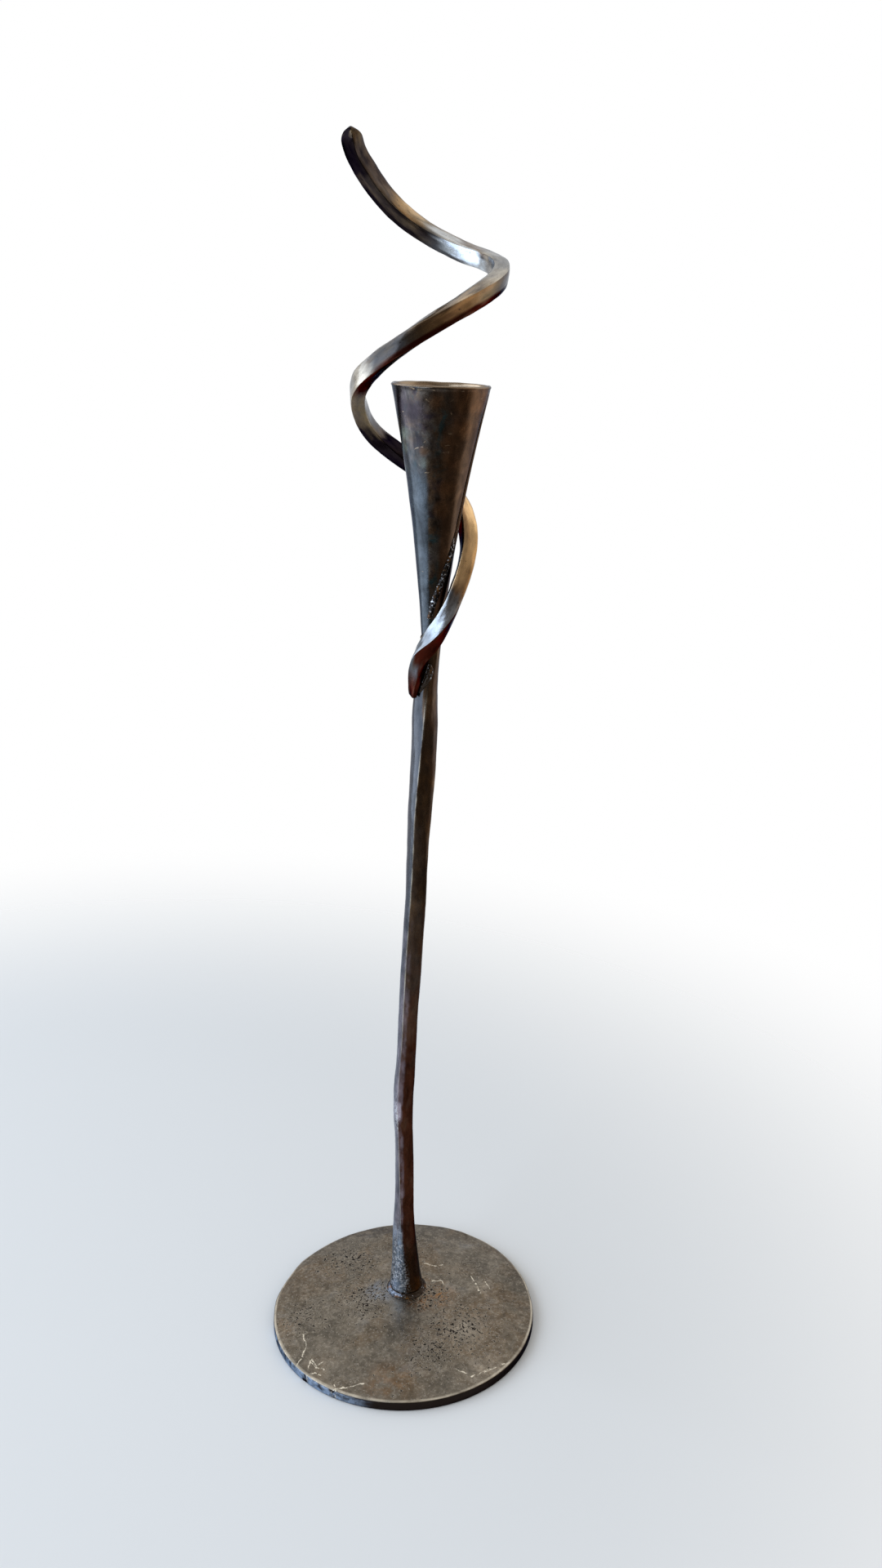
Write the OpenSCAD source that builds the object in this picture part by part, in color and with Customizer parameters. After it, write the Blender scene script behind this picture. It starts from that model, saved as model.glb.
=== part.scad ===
// Hand-forged iron candlestick. A dished round plate carries a leaning, tapered stem. A rolled
// sheet cone on the stem takes the candle, and a tendril of square bar springs from the stem,
// winds twice round the cone and ends above it.
// Millimetres, +Z up. The origin lies on the table under the middle of the plate, and the
// candlestick is seen in its picture from -Y, with +X to the right.

/* [Base plate] */
// Diameter of the forged plate
plate_d = 120; // [100:1:150]
// Thickness of the plate at its rim
rim_t = 4.5; // [3.5:0.1:6]
// Height that the plate's top rises from the rim to the stem
dish_rise = 5; // [4:0.5:8]
// Height of the hollow under the middle of the plate
hollow_h = 4.5; // [3:0.5:5]
// Width of the flat ring under the rim that the plate stands on
land_w = 6; // [4:0.5:10]
// Width of the worn edges of the rim
arris_w = 0.8; // [0.4:0.1:1.5]

/* [Stem] */
// Length of the stem between the weld at its foot and the weld at its top
stem_h = 305; // [250:1:360]
// Thickness of the stem's bar in its lower half, across the flats
stem_d = 8; // [7:0.1:10]
// Diameter of the stem's flared foot
foot_d = 15.4; // [14:0.1:18]
// Height over which the foot flares
flare_h = 60; // [40:1:80]
// Diameter of the stem's round top
neck_d = 7.6; // [6.8:0.1:9]
// Distance of the foot behind the middle of the plate
foot_back = 6.5; // [0:0.5:10]
// Distance of the foot to the right of the middle of the plate
foot_right = 1; // [0:0.5:5]
// How far the top of the stem leans to the right of its foot
lean_right = 14; // [0:0.5:20]
// How far the top of the stem leans forward of its foot
lean_front = 12; // [0:0.5:16]
// Diameter of the tenon through the plate
tenon_d = 7.6; // [6:0.1:9]
// Diameter of the tenon's riveted head under the plate
rivet_d = 12.5; // [11:0.1:14]
// Height of the riveted head
rivet_h = 2; // [1.5:0.1:2.5]

/* [Candle cone] */
// Outer diameter of the cone's mouth
mouth_d = 36.4; // [32:0.1:44]
// Outer diameter of the cone's lower end
cone_foot_d = 8.2; // [7.8:0.1:9]
// Length of the cone
cone_h = 93; // [80:1:110]
// Thickness of the cone's rolled sheet
cone_wall = 1.5; // [1.2:0.1:1.8]
// Degrees that the cone tips to the right
cone_tip_right = 2.5; // [0:0.1:5]
// Degrees that the cone tips forward
cone_tip_front = 3.3; // [0:0.1:5]
// Length of the stem's spigot inside the cone
spigot_h = 8; // [5:0.5:12]

/* [Tendril] */
// Thickness of the tendril's square bar
bar_d = 6.3; // [5:0.1:7]
// Distance below the stem's top at which the tendril springs
root_drop = 21.5; // [18:0.5:26]
// Room between the cone's mouth and the inside of the turn beside it
coil_room = 6; // [4:0.5:12]
// Height of the tendril's tip above the cone's mouth
tip_h = 83.4; // [60:0.1:110]
// How far the coil's upper end drifts to the left of the cone
coil_drift = 12.5; // [0:0.5:16]

/* [Welds] */
// Height of the weld round the foot
foot_weld_h = 2; // [1.5:0.1:3]
// Width of the weld beyond the foot, on the plate
foot_weld_w = 1.8; // [1:0.1:2.5]
// Height of the weld between the stem and the cone
root_weld_h = 2; // [1.5:0.1:3]
// Width of the weld beads
bead_w = 2.6; // [2:0.1:3.5]
// Height of the weld beads above the surface that they lie on
bead_h = 0.7; // [0.4:0.1:1]

/* [Hidden] */
$fn = 96;

// Clearances, the thickness of a bead at its edges, and how far a cut runs past the surface
// that it opens
seat_clear = 0.1;
weld_clear = 0.05;
bead_edge_t = 0.05;
overrun = 1;

// Faces and rings of the forged bars and of the plate
stem_sides = 16;
stem_rings = 44;
tendril_sides = 24;
tendril_rings = 112;
tip_rings = 4;
plate_sides = 72;
dish_rings = 5;
cone_bands = 12;
seam_rings = 26;
crotch_rings = 10;
bead_sides = 4;

// The places that the pieces share
foot = [foot_right, foot_back];
seat_z = rim_t + dish_rise;
stem_foot = [foot.x, foot.y, seat_z + foot_weld_h];
stem_top = stem_foot + [lean_right, -lean_front, stem_h];
cone_axis = [cos(cone_tip_front) * sin(cone_tip_right), -sin(cone_tip_front),
             cos(cone_tip_front) * cos(cone_tip_right)];
cone_foot = stem_top + cone_axis * root_weld_h;
mouth = cone_foot + cone_axis * cone_h;
root = stem_top.z - root_drop;
seat_r = foot_d / 2 + foot_weld_w + seat_clear;
spigot_d = cone_foot_d - 2 * (cone_wall + seat_clear);
// The weld under the cone swells out by this share of its height
root_bulge_share = 0.25;
root_weld_r = (neck_d + cone_foot_d) / 4 + root_weld_h * root_bulge_share;

// Smooth curve through the rows of a table, whose first column is the share of the way along.
// A row's slope comes from its neighbours.
function slope(rows, i) =
    let (before = rows[max(i - 1, 0)], after = rows[min(i + 1, len(rows) - 1)])
    (after - before) / (after[0] - before[0]);
function along(rows, s) =
    let (
        i = max([for (k = [0 : len(rows) - 2]) if (k == 0 || s >= rows[k][0]) k]),
        step = rows[i + 1][0] - rows[i][0],
        u = (s - rows[i][0]) / step,
        ease = u * u * (3 - 2 * u)
    )
    rows[i] * (1 - ease) + rows[i + 1] * ease
        + (slope(rows, i) * (1 - u) - slope(rows, i + 1) * u) * (step * u * (1 - u));

function unit(v) = v / norm(v);
function mix(a, b, share) = a + (b - a) * share;

// Forged section: a square with soft corners. A higher power gives sharper corners, and 2 an oval.
// First the radius of one that is 2 wide, then a point of one with any two half widths.
function soft_r(power, angle) =
    1 / pow(pow(abs(cos(angle)), power) + pow(abs(sin(angle)), power), 1 / power);
function soft_square(half_a, half_b, power, angle) =
    [half_a * cos(angle), half_b * sin(angle)] * soft_r(power, angle);
// How far that section reaches in a direction, for what has to lie clear beside it
function soft_reach(half_a, half_b, power, angle) =
    let (q = power / (power - 1))
    pow(pow(abs(half_a * cos(angle)), q) + pow(abs(half_b * sin(angle)), q), 1 / q);

// Closed solid through rings of points, each ring anticlockwise as seen from the last ring
module loft(rings) {
    sides = len(rings[0]);
    last = (len(rings) - 1) * sides;
    polyhedron(
        points = [for (ring = rings) each ring],
        faces = concat(
            [[for (i = [0 : sides - 1]) i]],
            [for (k = [0 : len(rings) - 2], i = [0 : sides - 1])
                let (here = k * sides, next = here + sides, j = (i + 1) % sides)
                each [[here + i, next + i, next + j], [here + i, next + j, here + j]]],
            [[for (i = [sides - 1 : -1 : 0]) last + i]]
        )
    );
}

// Moves what is drawn along +Z to the cone's own axis, from a point on it
module on_cone_axis(start) {
    translate(start) rotate([cone_tip_front, cone_tip_right, 0]) children();
}

// BASE PLATE
// The outline is round by eye: two low waves run round it, as shares of its radius
wave_two_share = 0.005;
wave_three_share = 0.007;
wave_two_turn = 165;
wave_three_turn = -124;
function outline_r(angle) =
    plate_d / 2 * (1 + wave_two_share * cos(2 * angle - wave_two_turn)
        + wave_three_share * cos(3 * angle - wave_three_turn));

// Ring of the plate at a share of the way from the stem's seat to the outline, drawn in by inset
function plate_ring(share, inset, z) =
    [for (i = [0 : plate_sides - 1])
        let (
            angle = 360 * i / plate_sides,
            r = mix(seat_r, outline_r(angle), share) - inset
        )
        [foot.x * (1 - share) + r * cos(angle), foot.y * (1 - share) + r * sin(angle), z]];

module base_plate() {
    land_share = 1 - (land_w + arris_w) / (plate_d / 2 - seat_r);
    hollow = [for (k = [0 : dish_rings])
        let (share = land_share * k / dish_rings)
        plate_ring(share, 0, hollow_h * (1 - pow(k / dish_rings, 2)))];
    rim = [
        plate_ring(1, arris_w, 0),
        plate_ring(1, 0, arris_w),
        plate_ring(1, 0, rim_t - arris_w),
        plate_ring(1, arris_w, rim_t)
    ];
    top = [for (k = [dish_rings - 1 : -1 : 0])
        let (share = k / dish_rings)
        plate_ring(share, 0, rim_t + dish_rise * (1 - share * share))];
    color("#6e6455")
    difference() {
        loft(concat(hollow, rim, top));
        translate([foot.x, foot.y, -overrun])
            cylinder(d = tenon_d + 2 * seat_clear, h = seat_z + 2 * overrun);
    }
}

// STEM
// Columns: share of the height, wander to the right as a share of the lean, thickness as a
// share of stem_d, squareness of the section, and the turn of its front arris as a share of a
// full turn
stem_shares = [
    [0.00,  0.00, 1.05, 0.0, 0.74],
    [0.08, -0.05, 1.05, 0.4, 0.72],
    [0.15, -0.03, 0.99, 0.9, 0.69],
    [0.23,  0.00, 0.97, 1.0, 0.67],
    [0.30, -0.02, 1.02, 1.0, 0.67],
    [0.35,  0.02, 1.02, 1.0, 0.67],
    [0.42,  0.14, 0.99, 1.0, 0.67],
    [0.50,  0.25, 1.00, 1.0, 0.67],
    [0.58,  0.37, 1.03, 1.0, 0.67],
    [0.64,  0.47, 1.02, 1.0, 0.67],
    [0.70,  0.53, 1.05, 1.0, 0.69],
    [0.76,  0.61, 1.11, 1.0, 0.69],
    [0.82,  0.71, 1.14, 1.0, 0.70],
    [0.88,  0.79, 1.13, 0.9, 0.73],
    [0.92,  0.81, 1.15, 0.6, 0.76],
    [0.96,  0.90, 1.07, 0.3, 0.77],
    [1.00,  1.00, 1.00, 0.0, 0.78]
];
flare_power = 2.5;
square_power = 1.6;
neck_share = 0.9;

function stem_middle(s) =
    stem_foot + [lean_right * along(stem_shares, s)[1], -lean_front * s, stem_h * s];
// The bar's thickness runs into the round neck over the last tenth of its height
function stem_half(s) =
    let (
        row = along(stem_shares, s),
        flare = pow(max(1 - s * stem_h / flare_h, 0), flare_power),
        neck = max((s - neck_share) / (1 - neck_share), 0)
    )
    mix(mix(row[2] * stem_d, foot_d, flare), neck_d, neck) / 2;
function stem_power(s) = 2 + square_power * along(stem_shares, s)[3];
function stem_twist(s) = 360 * along(stem_shares, s)[4] - 45;
// Radius of the stem at a turn from the right, and how far it reaches in that direction
function stem_r(s, turn) = stem_half(s) * soft_r(stem_power(s), turn - stem_twist(s));
function stem_reach(s, turn) =
    soft_reach(stem_half(s), stem_half(s), stem_power(s), turn - stem_twist(s));

function stem_ring(s) =
    let (
        half = stem_half(s),
        nudge = 0.5 / stem_rings,
        up = s == 0 ? [0, 0, 1]
            : s == 1 ? cone_axis
            : unit(stem_middle(min(s + nudge, 1)) - stem_middle(max(s - nudge, 0))),
        right = unit([1, 0, 0] - up * up.x),
        back = cross(up, right),
        twist = stem_twist(s)
    )
    [for (i = [0 : stem_sides - 1])
        let (p = soft_square(half, half, stem_power(s), 360 * i / stem_sides))
        stem_middle(s) + right * (p.x * cos(twist) - p.y * sin(twist))
            + back * (p.x * sin(twist) + p.y * cos(twist))];

module stem() {
    tenon_z = hollow_h - rivet_h / 2;
    color("#3d342d")
    union() {
        loft([for (k = [0 : stem_rings]) stem_ring(k / stem_rings)]);
        // The tenon passes the foot weld and the plate
        translate([foot.x, foot.y, tenon_z])
            cylinder(d = tenon_d, h = stem_foot.z - tenon_z + overrun);
        // Its riveted head fills the middle of the hollow, clear of the table
        translate([foot.x, foot.y, hollow_h - rivet_h])
            cylinder(d1 = tenon_d, d2 = rivet_d, h = rivet_h);
        // The spigot stands in the cone
        on_cone_axis(stem_top - cone_axis * overrun)
            cylinder(d = spigot_d, h = overrun + root_weld_h + spigot_h);
    }
}

// FOOT WELD
// A ring of weld between the foot and the plate, hollowed on the outside
foot_weld_shares = [[1.0, 0.0], [0.45, 0.3], [0.15, 0.65], [0.0, 1.0]];
module foot_weld() {
    bore_r = tenon_d / 2 + seat_clear;
    color("#4a3a2a")
    translate([foot.x, foot.y, seat_z])
        rotate_extrude()
            polygon(concat(
                [[bore_r, 0]],
                [for (p = foot_weld_shares) [foot_d / 2 + foot_weld_w * p.x, foot_weld_h * p.y]],
                [[bore_r, foot_weld_h]]
            ));
}

// CANDLE CONE
// The sheet opens like a trumpet: this share of the widening comes with the square of the height
trumpet_share = 0.45;
function cone_r(s) =
    cone_foot_d / 2 + (mouth_d - cone_foot_d) / 2 * s * (1 - trumpet_share + trumpet_share * s);

module candle_cone() {
    outside = [for (k = [0 : cone_bands]) [cone_r(k / cone_bands), cone_h * k / cone_bands]];
    inside = [for (k = [cone_bands : -1 : 0])
        [cone_r(k / cone_bands) - cone_wall, cone_h * k / cone_bands]];
    color("#46403c")
    on_cone_axis(cone_foot)
        rotate_extrude()
            polygon(concat(outside, inside));
}

// WELD BEADS
// Section of a bead that lies on a rounded surface: turns and radii over its crown, and back
// along the surface. The skin is a function that gives the surface's radius at a turn.
function bead_arc(middle_turn, half_w, height, skin) =
    let (
        half_turn = half_w / skin(middle_turn) * 180 / PI,
        shares = [for (i = [0 : bead_sides]) 2 * i / bead_sides - 1]
    )
    concat(
        [for (share = shares)
            let (turn = middle_turn + half_turn * share)
            [turn, skin(turn) + weld_clear + bead_edge_t + height * (1 - share * share)]],
        [for (share = shares)
            let (turn = middle_turn - half_turn * share)
            [turn, skin(turn) + weld_clear]]
    );

// SEAM WELD
// The seam climbs the front of the cone, turns to its right side and runs up to the mouth.
// Columns: share of the bead's way, share of the cone's height, turn from the right as a share
// of a full turn, and width and height as shares of the bead's
seam_shares = [
    [0.00, 0.08, -0.29, 0.6, 0.7],
    [0.15, 0.14, -0.25, 0.9, 1.0],
    [0.35, 0.23, -0.18, 1.0, 1.0],
    [0.50, 0.32, -0.12, 1.0, 0.9],
    [0.65, 0.45, -0.07, 0.9, 0.7],
    [1.00, 0.97, -0.03, 0.6, 0.3]
];
module seam_weld() {
    color("#2b2724")
    on_cone_axis(cone_foot)
        loft([for (k = [0 : seam_rings])
            let (
                row = along(seam_shares, k / seam_rings),
                z = cone_h * row[1],
                skin = function (turn) cone_r(row[1]),
                arc = bead_arc(360 * row[2], bead_w / 2 * row[3], bead_h * row[4], skin)
            )
            [for (p = arc) [p[1] * cos(p[0]), p[1] * sin(p[0]), z]]]);
}

// ROOT WELD
// A ring of weld between the stem's round top and the cone, round the spigot
module root_weld() {
    bore_r = spigot_d / 2 + seat_clear;
    color("#2b2724")
    on_cone_axis(stem_top)
        rotate_extrude()
            polygon([
                [bore_r, 0],
                [neck_d / 2, 0],
                [root_weld_r, root_weld_h / 2],
                [cone_foot_d / 2, root_weld_h],
                [bore_r, root_weld_h]
            ]);
}

// TENDRIL
// It springs from the stem's left and makes not quite two turns to the right-handed side.
// Columns: share of the sweep, climb from the root to the mouth, climb from the mouth to the
// tip, opening of the coil, drift to the left, thickness and width as shares of bar_d, and the
// turn of the section as a share of a full turn
tendril_shares = [
    [0.00, 0.00, 0.00, 0.00, 0.00, 0.30, 0.70,  0.00],
    [0.05, 0.13, 0.00, 0.01, 0.00, 0.85, 0.96,  0.04],
    [0.10, 0.21, 0.00, 0.00, 0.00, 1.00, 1.04,  0.12],
    [0.16, 0.31, 0.00, 0.05, 0.00, 1.00, 1.02,  0.12],
    [0.22, 0.47, 0.00, 0.22, 0.00, 1.00, 1.00,  0.03],
    [0.29, 0.61, 0.00, 0.38, 0.05, 1.00, 1.00,  0.00],
    [0.35, 0.70, 0.00, 0.75, 0.12, 1.00, 1.09,  0.05],
    [0.42, 0.83, 0.00, 0.96, 0.17, 0.93, 1.04,  0.07],
    [0.48, 0.95, 0.00, 1.00, 0.23, 0.90, 1.02,  0.00],
    [0.56, 1.00, 0.09, 1.02, 0.45, 0.92, 1.03,  0.01],
    [0.65, 1.00, 0.29, 1.06, 0.63, 0.94, 1.04,  0.03],
    [0.74, 1.00, 0.46, 1.15, 0.74, 0.98, 1.09,  0.02],
    [0.82, 1.00, 0.58, 1.04, 0.82, 0.91, 1.03, -0.07],
    [0.91, 1.00, 0.80, 0.60, 0.91, 1.00, 1.04, -0.20],
    [1.00, 1.00, 1.00, 0.46, 1.00, 0.94, 1.02, -0.36]
];
tendril_start = 205;
tendril_sweep = 700;
tendril_power = 7;
// The tip closes in a round end over this share of the sweep, down to a blunt end
tip_share = 0.016;
blunt_share = 0.15;

// Middle of what the tendril winds round at a height: the stem, the cone, then straight up
function core(z) =
    z < stem_top.z ? stem_middle((z - stem_foot.z) / stem_h)
    : z < mouth.z ? stem_top + cone_axis * ((z - stem_top.z) / cone_axis.z)
    : mouth;

function tendril_half(t) =
    let (row = along(tendril_shares, t))
    [row[5], row[6]] * bar_d / 2;

// It lies on the stem at its root, and opens from there to the turn beside the mouth
function tendril_middle(t) =
    let (
        row = along(tendril_shares, t),
        turn = tendril_start + tendril_sweep * t,
        half = tendril_half(t),
        z = root + (mouth.z - root) * row[1] + tip_h * row[2],
        root_r = max(stem_reach(1 - root_drop / stem_h, turn), root_weld_r) + seat_clear,
        inner_r = mix(root_r, mouth_d / 2 + coil_room, row[3]),
        r = inner_r + soft_reach(half.x, half.y, tendril_power, 360 * row[7]),
        middle = core(z)
    )
    [middle.x - coil_drift * row[4] + r * cos(turn), middle.y + r * sin(turn), z];

function tendril_ring(t) =
    let (
        row = along(tendril_shares, t),
        nudge = 0.25 / tendril_rings,
        turn = tendril_start + tendril_sweep * t,
        here = tendril_middle(t),
        ahead = unit(tendril_middle(min(t + nudge, 1)) - tendril_middle(max(t - nudge, 0))),
        outwards = [cos(turn), sin(turn), 0],
        out = unit(outwards - ahead * (outwards * ahead)),
        side = cross(ahead, out),
        half = tendril_half(t),
        from_tip = min((1 - t) / tip_share, 1),
        close = max(sqrt(1 - pow(1 - from_tip, 2)), blunt_share),
        twist = 360 * row[7]
    )
    [for (i = [0 : tendril_sides - 1])
        let (
            angle = 360 * i / tendril_sides,
            p = soft_square(half.x * close, half.y * close, tendril_power, angle)
        )
        here + out * (p.x * cos(twist) - p.y * sin(twist))
            + side * (p.x * sin(twist) + p.y * cos(twist))];

module tendril() {
    body = [for (k = [0 : tendril_rings]) (1 - tip_share) * k / tendril_rings];
    tip = [for (k = [1 : tip_rings]) 1 - tip_share * pow(1 - k / tip_rings, 2)];
    color("#5a4632")
    loft([for (t = concat(body, tip)) tendril_ring(t)]);
}

// TENDRIL WELD
// A bead in the crotch between the tendril's root and the front of the stem.
// Columns: share of the bead's way, share of the tendril's sweep beside it, width and height as
// shares of the bead's
crotch_shares = [
    [0.0, 0.004, 0.3, 0.5],
    [0.3, 0.015, 0.9, 1.2],
    [0.7, 0.030, 1.3, 1.9],
    [1.0, 0.042, 0.5, 1.0]
];
// The bead reaches in under the tendril's rounded side, to this share of its half width
under_share = 0.7;
module tendril_weld() {
    color("#2b2724")
    loft([for (k = [0 : crotch_rings])
        let (
            row = along(crotch_shares, k / crotch_rings),
            z = tendril_middle(row[1]).z,
            s = (z - stem_foot.z) / stem_h,
            skin = function (turn) stem_r(s, turn),
            tendril_turn = tendril_start + tendril_sweep * row[1],
            half_w = bead_w / 2 * row[2],
            away = tendril_half(row[1]).y * under_share + half_w,
            turn = tendril_turn + away / skin(tendril_turn) * 180 / PI,
            arc = bead_arc(turn, half_w, bead_h * row[3], skin),
            middle = stem_middle(s)
        )
        [for (p = arc) [middle.x + p[1] * cos(p[0]), middle.y + p[1] * sin(p[0]), z]]]);
}

base_plate();
stem();
foot_weld();
candle_cone();
seam_weld();
root_weld();
tendril();
tendril_weld();
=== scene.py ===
"""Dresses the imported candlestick: hammered iron, rolled cone, welds, and a plain pale studio.

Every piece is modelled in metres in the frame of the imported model. +Z is up, and the camera looks
along +Y.
"""

import math

import bmesh
import bpy
from bpy.props import FloatProperty, FloatVectorProperty, IntProperty, PointerProperty
from mathutils import Matrix, Vector


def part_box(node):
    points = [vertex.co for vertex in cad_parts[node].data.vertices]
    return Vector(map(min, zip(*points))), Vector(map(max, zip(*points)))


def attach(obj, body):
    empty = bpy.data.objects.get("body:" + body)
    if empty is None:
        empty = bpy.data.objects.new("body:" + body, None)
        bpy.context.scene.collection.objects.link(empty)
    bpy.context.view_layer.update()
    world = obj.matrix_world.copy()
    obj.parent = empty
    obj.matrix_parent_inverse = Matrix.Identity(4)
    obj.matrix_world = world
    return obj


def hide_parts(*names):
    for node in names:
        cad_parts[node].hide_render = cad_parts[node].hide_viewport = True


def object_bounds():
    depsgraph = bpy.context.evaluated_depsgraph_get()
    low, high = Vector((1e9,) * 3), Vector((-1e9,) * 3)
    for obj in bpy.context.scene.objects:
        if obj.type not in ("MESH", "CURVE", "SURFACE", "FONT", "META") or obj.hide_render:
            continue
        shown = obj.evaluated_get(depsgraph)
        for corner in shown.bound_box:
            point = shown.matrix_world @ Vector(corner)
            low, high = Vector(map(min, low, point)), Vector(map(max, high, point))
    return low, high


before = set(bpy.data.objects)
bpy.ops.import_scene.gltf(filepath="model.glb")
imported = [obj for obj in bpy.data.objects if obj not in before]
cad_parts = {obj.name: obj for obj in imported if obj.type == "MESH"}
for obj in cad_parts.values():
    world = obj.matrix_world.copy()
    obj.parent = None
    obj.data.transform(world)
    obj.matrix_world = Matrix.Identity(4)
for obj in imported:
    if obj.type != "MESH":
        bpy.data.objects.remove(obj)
cad_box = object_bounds()

bl_info = {
    "name": "Forged Candlestick",
    "version": (1, 0, 0),
    "blender": (4, 5, 0),
    "location": "3D View > Sidebar > Candlestick",
    "description": "Models the surfaces of a hand-forged iron candlestick, and its studio",
    "category": "Object",
}

MM = 0.001
WHITE = (1.0, 1.0, 1.0, 1.0)

# The way that the left side of the stem and its foot looks, where a painted reflection of the
# window light makes it bright
LEFT = Vector((-0.85, -0.5, 0)).normalized()

# Rust round the foot, seen from above: place and reach in mm, and strength
FOOT_RUST = ((12, 1, 15, 1.0), (5, -4, 7, 1.0))


def linear(hex_colour):
    """Turns an sRGB hex colour into the linear values that Blender works in."""
    shares = [int(hex_colour[i:i + 2], 16) / 255 for i in (1, 3, 5)]
    return tuple(s / 12.92 if s <= 0.04045 else ((s + 0.055) / 1.055) ** 2.4 for s in shares)


def size(name, description, millimetres):
    """Makes a length that a user can change."""
    return FloatProperty(
        name=name, description=description, default=millimetres * MM, min=0.0, precision=5,
        unit="LENGTH", subtype="DISTANCE",
    )


def colour(name, description, hex_colour):
    """Makes a colour that a user can change."""
    return FloatVectorProperty(
        name=name, description=description, default=linear(hex_colour), min=0.0, max=1.0,
        subtype="COLOR",
    )


def angle(name, description, degrees):
    """Makes an angle that a user can change."""
    return FloatProperty(
        name=name, description=description, default=math.radians(degrees), subtype="ANGLE",
    )


def brightness(name, description, value):
    """Makes a lamp's brightness that a user can change."""
    return FloatProperty(name=name, description=description, default=value, min=0.0)


class CandlestickSizes(bpy.types.PropertyGroup):
    """Sizes of the plate and the cone, and of the hammer work on the iron"""

    plate_d: size("Plate diameter", "Diameter of the base plate", 120)
    rim_t: size("Rim thickness", "Thickness of the base plate at its rim", 4.5)
    dish_rise: size("Dish rise", "Height that the plate rises from its rim to the stem", 5)
    hollow_h: size("Hollow height", "Height of the hollow under the plate", 4.5)
    land_w: size("Land width", "Width of the flat ring that the plate stands on", 6)
    arris_w: size("Rim wear", "Width of the worn edges of the rim", 0.8)
    seat_r: size("Seat radius", "Radius of the flat seat under the foot weld", 9.6)
    bore_r: size("Bore radius", "Radius of the hole for the stem's tenon", 3.9)
    foot_right: size("Foot to the right", "Distance of the foot from the plate's middle", 1)
    foot_back: size("Foot to the back", "Distance of the foot from the plate's middle", 6.5)
    mouth_d: size("Mouth diameter", "Outer diameter of the cone's mouth", 36.4)
    cone_foot_d: size("Cone foot diameter", "Outer diameter of the cone's lower end", 8.2)
    cone_h: size("Cone length", "Length of the cone", 93)
    cone_wall: size("Cone wall", "Thickness of the cone's sheet", 1.5)
    dent_w: size("Dent width", "Width of a hammer dent", 11)
    dent_depth: size("Dent depth", "Depth of a hammer dent", 0.35)
    pit_w: size("Pit width", "Width of a corrosion pit in the plate", 1.6)
    pit_depth: size("Pit depth", "Depth of a corrosion pit", 0.3)
    ripple_w: size("Weld lump width", "Width of a lump in a weld", 1.6)


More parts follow.
